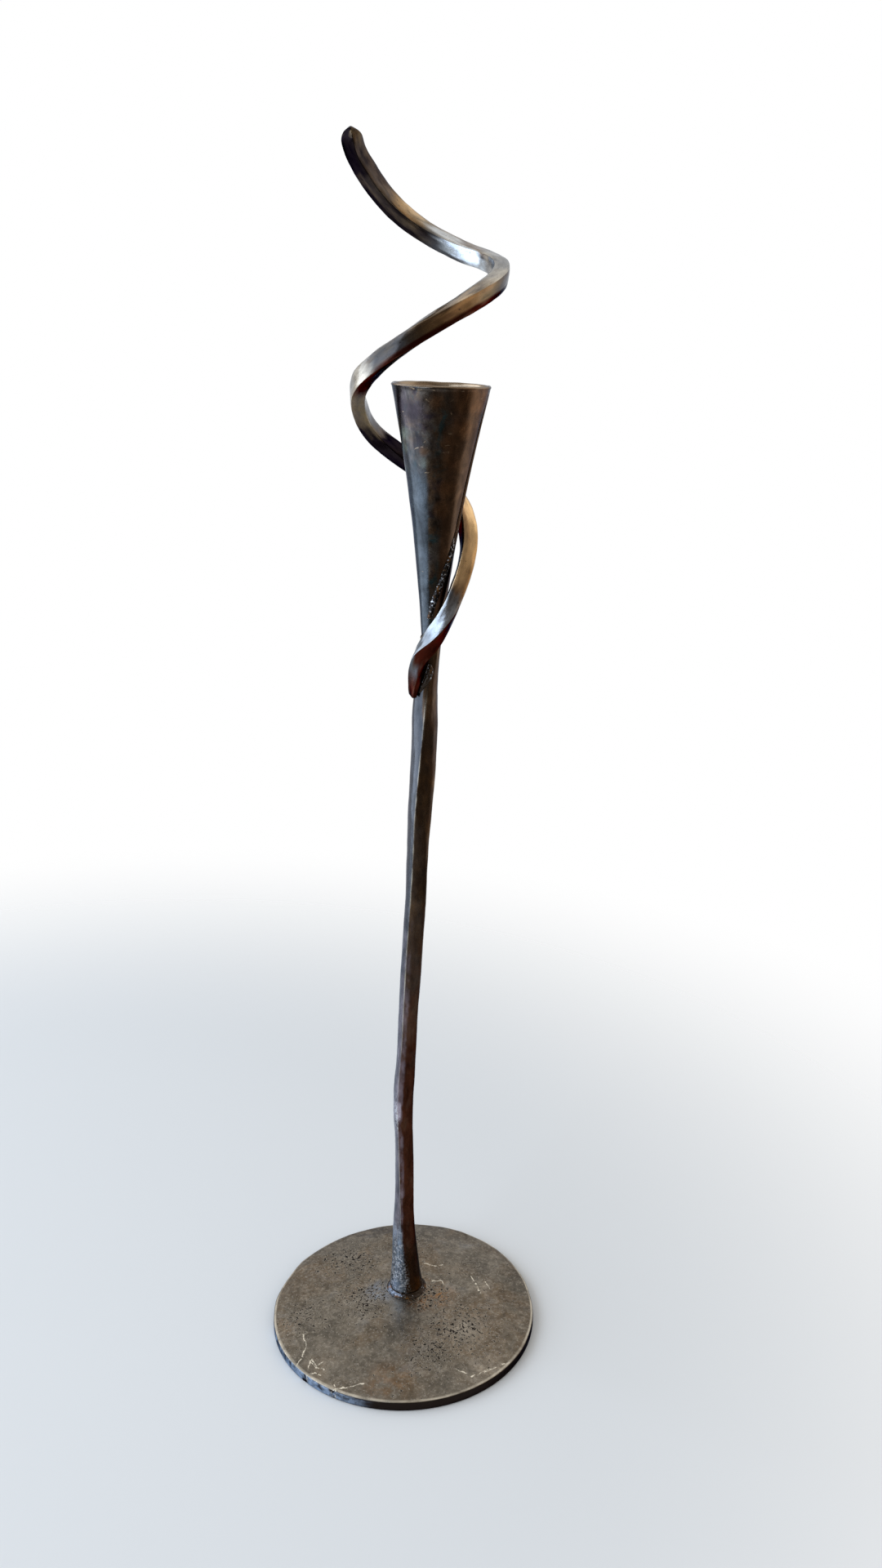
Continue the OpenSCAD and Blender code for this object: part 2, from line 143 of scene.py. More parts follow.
class CandlestickColours(bpy.types.PropertyGroup):
    """Colours of the iron under its wax, as they look on a flat bright metal. Several are painted
    light: reflections, highlights and shade laid into the colour
    """

    plate: colour("Plate", "Grey-brown iron of the plate", "#6F675B")
    plate_warm: colour("Plate, warm", "Brown cast on the plate", "#6A5843")
    plate_cool: colour("Plate, cool", "Blue-grey cast on the plate", "#646A70")
    plate_dark: colour("Plate, dark", "Dark smudges on the plate", "#4E4639")
    plate_pale: colour("Plate, pale", "Pale scuffs and rims of pits", "#A59B8C")
    # Worn bright edges, and painted highlights on the tendril's pale faces
    burnish_and_highlight: colour("Burnish", "Bright metal on worn edges", "#C8BEAC")
    scratch: colour("Scratch", "Bright metal in a scratch on the plate", "#E2D9C6")
    pit: colour("Pit", "Dark floor of a pit", "#241E18")
    rust: colour("Rust", "Orange-brown rust at the foot", "#8A5C26")
    stem: colour("Stem", "Dark brown iron of the stem", "#513E2D")
    stem_warm: colour("Stem, ochre", "Ochre mottling on the stem", "#5E4427")
    stem_cool: colour("Stem, cool", "Blue-grey cast on the stem", "#3A352F")
    # Painted warm reflection low on the stem's right
    stem_warm_reflection: colour("Stem, red", "Red-brown scale low on the stem", "#46271A")
    # Painted highlight: a strip low on the stem's left, and a knuckle
    stem_highlight: colour("Stem, pale", "Lilac-silver strip low on the stem's left", "#AFA5B2")
    # Painted reflection of the window light: on the left of the foot and its weld, on a spot of the
    # plate left of the foot, and on the rim's front left
    foot: colour("Foot", "Bright blue-grey iron on the left of the foot", "#A3B6CF")
    cone: colour("Cone", "Dark grey scale on the sheet", "#56504A")
    cone_warm: colour("Cone, brown", "Brown cast on the sheet", "#5A4735")
    cone_teal: colour("Cone, teal", "Teal temper tint", "#33484B")
    cone_purple: colour("Cone, purple", "Purple temper tint", "#342C2F")
    cone_streak: colour("Cone, streaks", "Dark streaks in the scale", "#231D1A")
    # Painted reflection of the window light on the left of the sheet
    cone_left_reflection: colour("Cone, blue", "Blue-grey left side of the sheet", "#43484C")
    # Painted warm reflection on the right of the sheet, and on the dressed seam
    cone_right_reflection: colour("Cone, rubbed", "Warm brown right side of the sheet", "#5C4634")
    cone_copper: colour("Cone, copper", "Copper-brown temper tint", "#6B4D34")
    cone_green: colour("Cone, green", "Grey-green temper tint", "#646A60")
    # Rubbed lip, ticks and scratches, and painted light far down the cone's inside
    lip: colour("Lip", "Copper-beige rubbed lip of the cone", "#A08C74")
    tendril: colour("Tendril", "Copper-brown iron of the tendril", "#675442")
    tendril_gold: colour("Tendril, gold", "Straw-gold temper tint", "#77623F")
    # Dark mottling, and painted shade on the tendril
    tendril_dark_and_shade: colour("Tendril, dark", "Dark scale in the hollows", "#352A24")
    # Dark scale near the tip, and painted shade on the tendril's darker faces
    scale: colour("Scale", "Purple-black scale near the tendril's tip", "#241D20")
    # Painted warm reflection and shade on the tendril's faces that look down
    red: colour("Red scale", "Dark red-brown scale under the tendril", "#481C12")
    # Copper temper tint, bright as a painted highlight on the tendril's loop
    copper: colour("Copper", "Copper-gold temper tint on the tendril", "#D2A676")
    gold: colour("Gold", "Gold glints on the tendril's edges", "#F2C78E")
    # Painted highlight on the tendril's bright flashes
    silver: colour("Silver", "Bare bright iron", "#BCC3C9")
    # Painted reflection of the window light on the left faces of the stem and the tendril
    left_reflection_grey: colour("Ash", "Blue-grey bare iron on the left of the bars", "#3F4146")
    sheen: colour("Sheen", "What waxed iron mirrors at a flat angle", "#8A96A8")
    rim: colour("Rim", "Dark scale on the side of the plate's rim", "#2C2420")
    weld: colour("Weld", "Black slag and scale on a weld", "#2B2623")
    weld_brown: colour("Weld, brown", "Brown scale on a weld that was brushed", "#3C3127")
    # Bare specks on the welds, and painted glints on the stem
    bare_speck_and_glint: colour("Weld sparkle", "Bright specks of bare metal", "#E2E6EC")


class CandlestickStudio(bpy.types.PropertyGroup):
    """Camera and lights"""

    lens: FloatProperty(
        name="Lens", description="Focal length in millimetres, for a long side of 36",
        default=29.0625, subtype="DISTANCE_CAMERA",
    )
    eye: FloatVectorProperty(
        name="Camera place", description="Place of the camera",
        default=(0.01834, -0.49114, 0.40589), subtype="TRANSLATION", unit="LENGTH",
    )
    pitch: angle("Camera pitch", "Angle that the camera looks down", 16.905)
    roll: angle("Camera roll", "Angle that the camera leans to its left", 0.305)
    window_strength: brightness("Window light", "Brightness of the soft panel at the left", 2.4)
    window_turn: angle("Window turn", "Angle of the panel to the left of the camera's side", 75)
    fill_strength: brightness("Fill light", "Brightness of the weak panel at the right", 0.35)
    fill_turn: angle("Fill turn", "Angle of that panel to the right of the camera's side", 65)
    window_tone: colour("Window tone", "Colour of the window light", "#D8E9FF")
    fill_tone: colour("Fill tone", "Colour of the fill light", "#FFEAD2")
    sky: colour("Sky", "Even light from all round", "#C4C6C8")
    room: colour("Room", "What the metal mirrors from the camera's side", "#5A524C")
    ceiling: colour("Ceiling", "What the metal mirrors from above", "#A8A5A0")
    floor: colour("Floor", "Paint of the floor", "#E9E8E5")
    floor_r: size("Floor radius", "Radius of the round floor", 650)
    floor_left: size("Floor to the left", "Distance of the floor's middle to the left", 200)
    sides: IntProperty(
        name="Floor sides", description="Number of sides of the round floor", default=96, min=12,
    )


def deselect_all():
    """Leaves nothing selected."""
    for obj in bpy.context.selected_objects:
        obj.select_set(False)


def pick(piece):
    """Selects one piece alone and makes it active."""
    deselect_all()
    piece.select_set(True)
    bpy.context.view_layer.objects.active = piece


def apply_modifier(piece, modifier):
    """Applies one modifier of a piece to its mesh."""
    pick(piece)
    bpy.ops.object.modifier_apply(modifier=modifier.name)


def copy_node(node, name):
    """Copies a CAD node to a new piece, and merges its loose triangles into one skin."""
    piece = bpy.data.objects.new(name, bpy.data.objects[node].data.copy())
    piece.data.name = name
    piece.data.materials.clear()
    bpy.context.scene.collection.objects.link(piece)
    pick(piece)
    bpy.ops.object.mode_set(mode="EDIT")
    bpy.ops.mesh.select_all(action="SELECT")
    bpy.ops.mesh.remove_doubles(threshold=0.001 * MM)
    bpy.ops.mesh.normals_make_consistent(inside=False)
    bpy.ops.object.mode_set(mode="OBJECT")
    return piece


def smooth(piece, levels):
    """Joins a piece's triangles into quads, and rounds it with a Subdivision Surface."""
    flat_enough = math.radians(40)
    pick(piece)
    bpy.ops.object.mode_set(mode="EDIT")
    bpy.ops.mesh.select_all(action="SELECT")
    bpy.ops.mesh.tris_convert_to_quads(face_threshold=flat_enough, shape_threshold=flat_enough)
    bpy.ops.object.mode_set(mode="OBJECT")
    modifier = piece.modifiers.new("round", "SUBSURF")
    modifier.levels = levels
    modifier.render_levels = levels
    apply_modifier(piece, modifier)


def lathe(name, sides, profile):
    """Turns a closed profile of radii and heights, extruding a circle ring after ring."""
    deselect_all()
    radius, height = profile[0]
    bpy.ops.mesh.primitive_circle_add(vertices=sides, radius=radius, location=(0, 0, height))
    piece = bpy.context.object
    piece.name = name
    piece.data.name = name
    bpy.ops.object.transform_apply(location=True, rotation=True, scale=True)
    bpy.ops.object.mode_set(mode="EDIT")
    bpy.ops.mesh.select_all(action="SELECT")
    for (r_before, z_before), (r, z) in zip(profile, profile[1:]):
        bpy.ops.mesh.extrude_edges_move(TRANSFORM_OT_translate={"value": (0, 0, z - z_before)})
        bpy.ops.transform.resize(
            value=(r / r_before, r / r_before, 1), center_override=(0, 0, 0)
        )
    bpy.ops.mesh.select_mode(type="EDGE")
    bpy.ops.mesh.select_all(action="DESELECT")
    bpy.ops.mesh.select_non_manifold()
    bpy.ops.mesh.bridge_edge_loops()
    bpy.ops.mesh.select_all(action="SELECT")
    bpy.ops.mesh.normals_make_consistent(inside=False)
    bpy.ops.object.mode_set(mode="OBJECT")
    return piece


def store_shares(piece, name, shares):
    """Stores a share from 0 to 1 at each vertex, for the materials and the Displace modifiers."""
    attribute = piece.data.attributes.new(name, "FLOAT", "POINT")
    attribute.data.foreach_set("value", shares)
    group = piece.vertex_groups.new(name=name + "_group")
    for index, share in enumerate(shares):
        if share > 0:
            group.add([index], share, "REPLACE")


def clamped(share):
    """Keeps a share between 0 and 1."""
    return min(max(share, 0.0), 1.0)


def fall(distance, reach):
    """Share that falls softly from 1 to 0 over a reach."""
    share = clamped(1 - distance / reach)
    return share * share * (3 - 2 * share)


def paint(piece, name, share_at):
    """Paints a share by each vertex's place and by the way that the surface looks there."""
    store_shares(piece, name, [clamped(share_at(v.co, v.normal)) for v in piece.data.vertices])


def paint_bar(piece, name, faces=(), edges=()):
    """Paints a share on zones of a straightened bar. Each zone gives where it starts and ends
    along the bar in mm, its strength, and a way. A zone of faces covers those that look that
    way, and a zone of edges covers what lies that way from the bar's middle line. A zone ends
    softly, over 14 mm."""
    soft = 14
    shares = []
    places = piece.data.attributes["bar_place"].data
    arms = piece.data.attributes["bar_arm"].data
    for vert, place, arm in zip(piece.data.vertices, places, arms):
        along = place.vector.z / MM
        best = 0.0
        for zones, look in ((faces, vert.normal), (edges, arm.vector.normalized())):
            for start, end, strength, way in zones:
                if start - soft < along < end + soft:
                    inside = fall(start - along, soft) * fall(along - end, soft)
                    facing = fall(0.80 - look.dot(Vector(way).normalized()), 0.25)
                    best = max(best, strength * inside * facing)
        shares.append(best)
    store_shares(piece, name, shares)


def mark_arrises(piece, low, high, crease):
    """Stores how sharply each edge and vertex bends, as a share from 0 at low to 1 at high. The
    Subdivision Surface keeps an edge sharper by its crease."""
    mesh = bmesh.new()
    mesh.from_mesh(piece.data)
    sharp = mesh.edges.layers.float.new("crease_edge")
    worn = mesh.verts.layers.float.new("arris")
    for edge in mesh.edges:
        share = clamped((edge.calc_face_angle(0) - low) / (high - low))
        edge[sharp] = crease * share
        for vert in edge.verts:
            vert[worn] = max(vert[worn], share)
    mesh.to_mesh(piece.data)
    mesh.free()


def in_order(elements):
    """Lists a mesh's elements by their numbers, because a set has them in no fixed order."""
    return sorted(elements, key=lambda element: element.index)


def flat_patches(mesh, bend):
    """Groups the faces that lie flat beside each other, with the vertices of each group."""
    left = set(mesh.faces)
    patches_found = []
    for first in mesh.faces:
        if first in left:
            left.remove(first)
            group = [first]
            for face in group:
                near = {f for e in face.edges for f in e.link_faces} & left
                flat = {f for f in near if f.normal.angle(face.normal) < bend}
                left -= flat
                group += in_order(flat)
            patches_found.append((group, in_order({v for f in group for v in f.verts})))
    return patches_found


def straighten(piece):
    """Stores where each vertex of a bent bar would be if the bar were straight, and its arm from
    the bar's middle line. It walks from the lower cap along the bar, ring by ring. A cap is a
    small flat patch with all its vertices at its rim, so that it has two triangles fewer than
    vertices."""
    cap_reach = 7 * MM
    mesh = bmesh.new()
    mesh.from_mesh(piece.data)
    place = mesh.verts.layers.float_vector.new("bar_place")
    reach_out = mesh.verts.layers.float_vector.new("bar_arm")
    caps = []
    for faces, verts in flat_patches(mesh, math.radians(3)):
        middle = sum((v.co for v in verts), Vector()) / len(verts)
        reach = max((v.co - middle).length for v in verts)
        if len(faces) == len(verts) - 2 >= 10 and reach < cap_reach:
            caps.append((middle, faces[0].normal.copy(), verts))
    if len(caps) != 2:
        mesh.free()
        raise RuntimeError("the bar has no two flat ends to walk between")
    middle, normal, ring = min(caps, key=lambda cap: cap[0].z)
    seen = set(ring)
    along = 0.0
    ahead = -normal
    out = ring[0].co - middle
    while ring:
        out = (out - ahead * out.dot(ahead)).normalized()
        side = ahead.cross(out)
        for vert in ring:
            arm = vert.co - middle
            vert[place] = Vector((arm.dot(out), arm.dot(side), along))
            vert[reach_out] = arm
        ring = in_order({e.other_vert(v) for v in ring for e in v.link_edges} - seen)
        seen.update(ring)
        if ring:
            after = sum((v.co for v in ring), Vector()) / len(ring)
            along += (after - middle).length
            ahead = (after - middle).normalized()
            middle = after
    mesh.to_mesh(piece.data)
    mesh.free()


def beat(piece, name, kind, width, depth, group="", stretch=1.0, shift=0.0, band=None, **settings):
    """Moves a surface by a texture. Width is the real size of its dents or lumps. Band gives the
    two levels between which the texture counts, and stretch draws it out along Z."""
    texture = bpy.data.textures.new(name, kind)
    texture.noise_scale = width
    for key, value in settings.items():
        setattr(texture, key, value)
    if band:
        texture.use_color_ramp = True
        ramp = texture.color_ramp.elements
        ramp[0].position, ramp[1].position = band
        ramp[0].color, ramp[1].color = (0, 0, 0, 1), WHITE
    grid = bpy.data.objects.new(name, None)
    grid.location = (shift, shift, shift)
    grid.scale = (1, 1, stretch)
    bpy.context.scene.collection.objects.link(grid)
    bpy.context.view_layer.update()
    modifier = piece.modifiers.new(name, "DISPLACE")
    modifier.texture = texture
    modifier.texture_coords = "OBJECT"
    modifier.texture_coords_object = grid
    modifier.strength = depth
    modifier.mid_level = 0.5
    if group:
        modifier.vertex_group = group + "_group"
    apply_modifier(piece, modifier)
    bpy.data.objects.remove(grid)
    bpy.data.textures.remove(texture)


def keep_inside(piece, node):
    """Brings any vertex that the dents have pushed out of the node's box back to its side."""
    low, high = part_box(node)
    for vert in piece.data.vertices:
        vert.co = Vector(min(max(c, a), b) for c, a, b in zip(vert.co, low, high))


def finish_piece(piece, nodes, material):
    """Shades a piece smooth, gives it its material and its body, and hides the CAD nodes that it
    stands for.
    """
    pick(piece)
    bpy.ops.object.shade_smooth()
    piece.data.materials.clear()
    piece.data.materials.append(material)
    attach(piece, "root")
    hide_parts(*nodes)


def foot_left(p, way):
    """Share of the painted reflection of the window light on the left of the foot, up to 28 mm high
    and fading above.
    """
    return fall(p.z - 28 * MM, 26 * MM) * fall(0.70 - way.dot(LEFT), 0.35)


def spots(at, places):
    """Strongest of some round soft spots on a flat view. Each gives its place and its reach in
    mm, and its strength."""
    return max(
        strength * fall((at - Vector((x, y)) * MM).length, reach * MM)
        for x, y, reach, strength in places
    )


# Materials

def add_node(tree, kind, inputs, out=0, **settings):
    """Adds a node with its settings and links, and gives its output socket. An input is given a
    value, or a socket to link from."""
    node = tree.nodes.new("ShaderNode" + kind)
    for key, value in settings.items():
        setattr(node, key, value)
    for key, value in inputs.items():
        socket = node.inputs[key]
        if isinstance(value, bpy.types.NodeSocket):
            tree.links.new(value, socket)
        elif socket.type == "RGBA" and len(value) == 3:
            socket.default_value = (*value, 1.0)
        else:
            socket.default_value = value
    return node.outputs[out] if node.outputs else None


def new_material(name):
    """Makes a material with an empty tree."""
    material = bpy.data.materials.new(name)
    material.use_nodes = True
    material.node_tree.nodes.clear()
    return material, material.node_tree


def patches(tree, place, width, low, high, start=0.0, end=1.0, detail=5.0, warp=0.0):
    """Value that changes by patches of a real width: it starts at the low level of the noise,
    and ends at the high one."""
    noise = add_node(tree, "TexNoise", {
        "Vector": place, "Scale": 1 / width, "Detail": detail, "Roughness": 0.6,
        "Distortion": warp,
    })
    return add_node(tree, "MapRange", {
        "Value": noise, "From Min": low, "From Max": high, "To Min": start, "To Max": end,
    })


def break_up(tree, share, place, width, low, high, **settings):
    """Lets a share show only in patches of a real width."""
    shown = patches(tree, place, width, low, high, **settings)
    return add_node(tree, "Math", {0: share, 1: shown}, operation="MULTIPLY")


def lay_over(tree, tint, layers):
    """Lays colours over a tint, one after another. Each layer gives its share and its colour."""
    for share, over in layers:
        tint = add_node(tree, "Mix", {0: share, 6: tint, 7: over}, out=2, data_type="RGBA")
    return tint


def mottle(tree, tint, place, width, dark, light):
    """Makes a tint darker and lighter in turns, by patches of a real width."""
    noise = add_node(tree, "TexNoise", {
        "Vector": place, "Scale": 1 / width, "Detail": 6.0, "Roughness": 0.62, "Distortion": 0.6,
    })
    shade = add_node(tree, "MapRange", {
        "Value": noise, "From Min": 0.32, "From Max": 0.68, "To Min": dark, "To Max": light,
    })
    return add_node(tree, "VectorMath", {0: tint, 3: shade}, operation="SCALE")


def scratches(tree, place, length, line, amount):
    """Share of thin scratches: the edges of warped cells, broken up by patches."""
    warp = add_node(
        tree, "TexNoise", {"Vector": place, "Scale": 1 / length, "Detail": 2.0}, out="Color"
    )
    pull = add_node(tree, "VectorMath", {0: warp, 3: length * 0.5}, operation="SCALE")
    moved = add_node(tree, "VectorMath", {0: place, 1: pull}, operation="ADD")
    gap = add_node(
        tree, "TexVoronoi", {"Vector": moved, "Scale": 1 / length}, feature="DISTANCE_TO_EDGE"
    )
    thin = add_node(tree, "MapRange", {"Value": gap, "From Min": line / length, "From Max": 0.0})
    return break_up(tree, thin, place, length * 0.7, 1 - amount, 1.02 - amount, detail=1.0)


def strokes(tree, place, lines, width):
    """Share of scratches drawn on X and Y. Each line lists its points in mm."""
    sway = 2.5 * MM
    wobble = add_node(
        tree, "TexNoise", {"Vector": place, "Scale": 1 / (3 * MM), "Detail": 3.0}, out="Color"
    )
    flat = add_node(tree, "VectorMath", {0: place, 1: (1, 1, 0)}, operation="MULTIPLY")
    moved = add_node(
        tree, "VectorMath", {0: wobble, 1: (sway, sway, 0), 2: flat}, operation="MULTIPLY_ADD"
    )
    nearest = 1.0
    for line in lines:
        for first, last in zip(line, line[1:]):
            step = (Vector(last) - Vector(first)) * MM
            from_first = add_node(
                tree, "VectorMath", {0: moved, 1: (*(Vector(first) * MM), 0)},
                operation="SUBTRACT",
            )
            along = add_node(
                tree, "VectorMath", {0: from_first, 1: (*(step / step.length_squared), 0)},
                out="Value", operation="DOT_PRODUCT",
            )
            kept = add_node(tree, "Clamp", {"Value": along})
            foot = add_node(tree, "VectorMath", {0: (*step, 0), 3: kept}, operation="SCALE")
            gap = add_node(
                tree, "VectorMath", {0: from_first, 1: foot}, out="Value", operation="DISTANCE"
            )
            nearest = add_node(tree, "Math", {0: nearest, 1: gap}, operation="MINIMUM")
    thin = add_node(tree, "MapRange", {
        "Value": nearest, "From Min": width / 2, "From Max": width / 6,
    })
    return break_up(tree, thin, place, 1.5 * MM, 0.38, 0.55, detail=2.0)


def cast_share(tree, place, name, width):
    """Share of a painted cast, with its edge made ragged by noise of a real width."""
    painted = add_node(tree, "Attribute", {}, out="Fac", attribute_name=name)
    noise = add_node(tree, "TexNoise", {"Vector": place, "Scale": 1 / width, "Detail": 4.0})
    ragged = add_node(tree, "Math", {0: noise, 1: 0.9, 2: painted}, operation="MULTIPLY_ADD")
    share = add_node(tree, "MapRange", {"Value": ragged, "From Min": 0.55, "From Max": 1.25})
    # Peaks of the noise alone make no cast
    there = add_node(tree, "Math", {0: painted, 1: 5.0}, operation="MULTIPLY", use_clamp=True)
    return add_node(tree, "Math", {0: share, 1: there}, operation="MULTIPLY")


def close_iron(material, tint, rough, height, relief, coat):
    """Ends an iron's tree: metal with its tint, roughness and relief, under a thin coat of wax.
    The sheen is the colour that the metal mirrors where it is seen at a flat angle."""
    tree = material.node_tree
    sheen = bpy.context.scene.candlestick_colours.sheen
    bump = add_node(tree, "Bump", {"Strength": 1.0, "Distance": relief, "Height": height})
    shader = add_node(tree, "BsdfPrincipled", {
        "Base Color": tint, "Metallic": 1.0, "Roughness": rough, "Normal": bump,
        "Specular Tint": sheen, "Coat Weight": coat, "Coat Roughness": 0.16,
    })
    add_node(tree, "OutputMaterial", {"Surface": shader})
    return material


# Scratches on the plate, by their points in mm from its middle
SCRATCHES = (
    ((-43.5, -20), (-41, -27), (-43, -34), (-44.5, -37)),
    ((-39.5, -39.5), (-38, -34.5), (-35.5, -38.5), (-33, -36)),
    ((-39, -35), (-36, -39), (-32, -40.5)),
    ((-39.5, -43), (-36, -42), (-33.5, -43.5)),
    ((-29.5, -51.5), (-23, -50.5), (-14.5, -49)),
    ((-27.5, -48), (-26.5, -52)),
    ((32, 16.5), (34.5, 11.5), (36.5, 4.5)),
    ((13.5, 11.5), (18.5, 12), (20, 9)),
    ((10, 24), (16, 22.5), (19, 23.5)),
    ((24, -41.5), (29.5, -43.5)),
    ((31, -45), (38.5, -40.5)),
    ((36.5, -42.5), (42.5, -39)),
    ((44, -38), (48, -36)),
    ((39, 13), (41, 8)),
)

# Ticks on the cone, by how far right and how high their points are in mm
TICKS = (
    ((11.0, 390.5), (13.4, 390.4)),
    ((22.6, 395.7), (24, 395.7)),
    ((21.9, 391.5), (23.4, 391.5)),
    ((21.0, 388.9), (23.2, 389.0)),
    ((14.4, 381.3), (15.9, 381.4)),
    ((23.4, 402.7), (24.0, 401.9)),
    ((15.2, 407), (16.0, 406.5)),
    ((9.6, 410.7), (11.0, 410.6)),
    ((12.6, 410.6), (13.4, 410.5)),
    ((17.6, 410.3), (18.6, 410.2)),
    ((27.6, 409.7), (28.6, 409.6)),
)


def plate_iron():
    """Forged plate: scale ground off to grey-brown metal, pitted, scratched and waxed."""
    colours = bpy.context.scene.candlestick_colours
    material, tree = new_material("forged_iron_plate_waxed")
    place = add_node(tree, "TexCoord", {}, out="Object")
    arris, pitted, side, glinted = (
        add_node(tree, "Attribute", {}, out="Fac", attribute_name=name)
        for name in ("arris", "pitted", "side", "glinted")
    )

    # Patches of scale and smoke all over the plate, then the painted casts
    layers = [
        (patches(tree, place, width, low, high, end=strength, detail=8.0, warp=0.5), over)
        for width, low, high, strength, over in (
            (25 * MM, 0.45, 0.62, 0.7, colours.plate_warm),
            (12 * MM, 0.55, 0.80, 0.5, colours.plate_cool),
            (6 * MM, 0.42, 0.75, 0.5, colours.plate_dark),
            (1.5 * MM, 0.45, 0.80, 0.5, colours.plate_pale),
        )
    ]
    # Rust, smoke and painted shade, a painted reflection of the window light left of the foot, and
    # scuffs
    for name, width, strength, over in (
        ("rusted", 5 * MM, 0.95, colours.rust),
        ("smoked", 5 * MM, 0.8, colours.plate_dark),
        ("blued", 4 * MM, 0.6, colours.foot),
        ("scuffed", 1.2 * MM, 0.7, colours.plate_pale),
    ):
        cast = add_node(tree, "Attribute", {}, out="Fac", attribute_name=name)
        share = break_up(tree, cast, place, width, 0.38, 0.66, end=strength, detail=8.0)
        layers.append((share, over))
    tint = lay_over(tree, colours.plate, layers)
    tint = mottle(tree, tint, place, 12 * MM, 0.66, 1.28)
    tint = mottle(tree, tint, place, 3.5 * MM, 0.76, 1.24)

    # Corrosion pits with pale rims, from noise 1.2 mm wide, thick where the plate is pitted
    level = add_node(tree, "MapRange", {"Value": pitted, "To Min": 0.35, "To Max": 0.47})
    specks = add_node(tree, "TexNoise", {
        "Vector": place, "Scale": 1 / (1.2 * MM), "Detail": 3.0, "Roughness": 0.6,
        "Distortion": 0.3,
    })
    under = add_node(tree, "Math", {0: level, 1: specks}, operation="SUBTRACT")
    pale = add_node(tree, "MapRange", {
        "Value": under, "From Min": -0.06, "From Max": 0.0, "To Max": 0.9,
    })
    pit = add_node(tree, "MapRange", {"Value": under, "From Min": 0.0, "From Max": 0.03})
    # Painted reflection of the window light, in patches on the rim's front left
    glint = break_up(tree, glinted, place, 3 * MM, 0.35, 0.60)
    worn = break_up(tree, arris, place, 7 * MM, 0.25, 0.60)
    # Scratches 0.6 mm wide, which is wider than real ones, so that they show
    cut = strokes(tree, place, SCRATCHES, 0.6 * MM)
    tint = lay_over(tree, tint, (
        (pale, colours.plate_pale), (pit, colours.pit), (side, colours.rim),
        (glint, colours.foot), (worn, colours.burnish_and_highlight), (cut, colours.scratch),
    ))

    rough = patches(tree, place, 4 * MM, 0.3, 0.7, start=0.32, end=0.55)
    grain = add_node(tree, "TexNoise", {
        "Vector": place, "Scale": 1 / (2.5 * MM), "Detail": 6.0, "Roughness": 0.65,
    })
    height = add_node(tree, "Math", {0: grain, 1: pit}, operation="SUBTRACT")
    coat = add_node(tree, "MapRange", {"Value": side, "To Min": 0.15, "To Max": 0.0})
    return close_iron(material, tint, rough, height, 0.10 * MM, coat)


def bar_iron(name, attribute, ground, warm, cool, stretch, casts, dark):
    """Forged bar: drawn out under the hammer, so its marks run along it. Casts give painted
    attributes with their colours, many of them painted reflections, highlights and shade, and dark
    names those that have no wax."""
    colours = bpy.context.scene.candlestick_colours
    material, tree = new_material(name)
    if attribute:
        place = add_node(tree, "Attribute", {}, out="Vector", attribute_name=attribute)
    else:
        place = add_node(tree, "TexCoord", {}, out="Object")
    drawn = add_node(tree, "Mapping", {"Vector": place, "Scale": (1, 1, 1 / stretch)})

    # Patches 9 and 6 mm wide, then the painted casts, all drawn out along the bar
    shares = {cast: cast_share(tree, drawn, cast, 3 * MM) for cast in casts}
    tint = lay_over(tree, ground, (
        (patches(tree, drawn, 9 * MM, 0.42, 0.62, warp=0.5), warm),
        (patches(tree, drawn, 6 * MM, 0.56, 0.72), cool),
        *((shares[cast], over) for cast, over in casts.items()),
    ))
    tint = mottle(tree, tint, drawn, 7 * MM, 0.60, 1.40)

    # A streak leaves about half of the light
    streaks = patches(tree, drawn, 2.2 * MM, 0.45, 0.75, detail=6.0)
    left_of_light = (0.55, 0.53, 0.52)
    tint = add_node(
        tree, "Mix", {0: streaks, 6: tint, 7: left_of_light}, out=2, data_type="RGBA",
        blend_type="MULTIPLY",
    )

    # Painted glints in flecks 1 mm wide, pits 1.2 mm wide, and arrises rubbed bright where the dark
    # casts of scale, painted shade and warm reflection aren't
    glinted = add_node(tree, "Attribute", {}, out="Fac", attribute_name="glinted")
    glint = break_up(tree, glinted, place, 1.0 * MM, 0.48, 0.60)
    pits = patches(tree, place, 1.2 * MM, 0.64, 0.76, detail=3.0)
    bare = 0.0
    for cast in dark:
        bare = add_node(tree, "Math", {0: bare, 1: shares[cast]}, operation="MAXIMUM")
    arris = add_node(tree, "Attribute", {}, out="Fac", attribute_name="arris")
    edge = add_node(tree, "MapRange", {"Value": arris, "From Min": 0.7, "To Max": 0.8})
    bright = add_node(tree, "Math", {0: edge, 1: bare}, operation="SUBTRACT", use_clamp=True)
    rubbed = break_up(tree, bright, drawn, 4 * MM, 0.40, 0.65)
    tint = lay_over(tree, tint, (
        (glint, colours.bare_speck_and_glint), (pits, colours.pit), (rubbed, colours.burnish_and_highlight),
    ))

    # The flecks are rougher than the waxed iron, so they catch the window's light
    waxed = patches(tree, drawn, 3 * MM, 0.3, 0.7, start=0.18, end=0.38)
    flecked = add_node(tree, "Math", {0: glint, 1: 0.55}, operation="MULTIPLY")
    rough = add_node(tree, "Math", {0: waxed, 1: flecked}, operation="MAXIMUM")
    grain = add_node(tree, "TexNoise", {
        "Vector": drawn, "Scale": 1 / (2.0 * MM), "Detail": 5.0, "Roughness": 0.6,
    })
    coat = add_node(tree, "MapRange", {"Value": bare, "To Min": 0.6, "To Max": 0.0})
    return close_iron(material, tint, rough, grain, 0.08 * MM, coat)


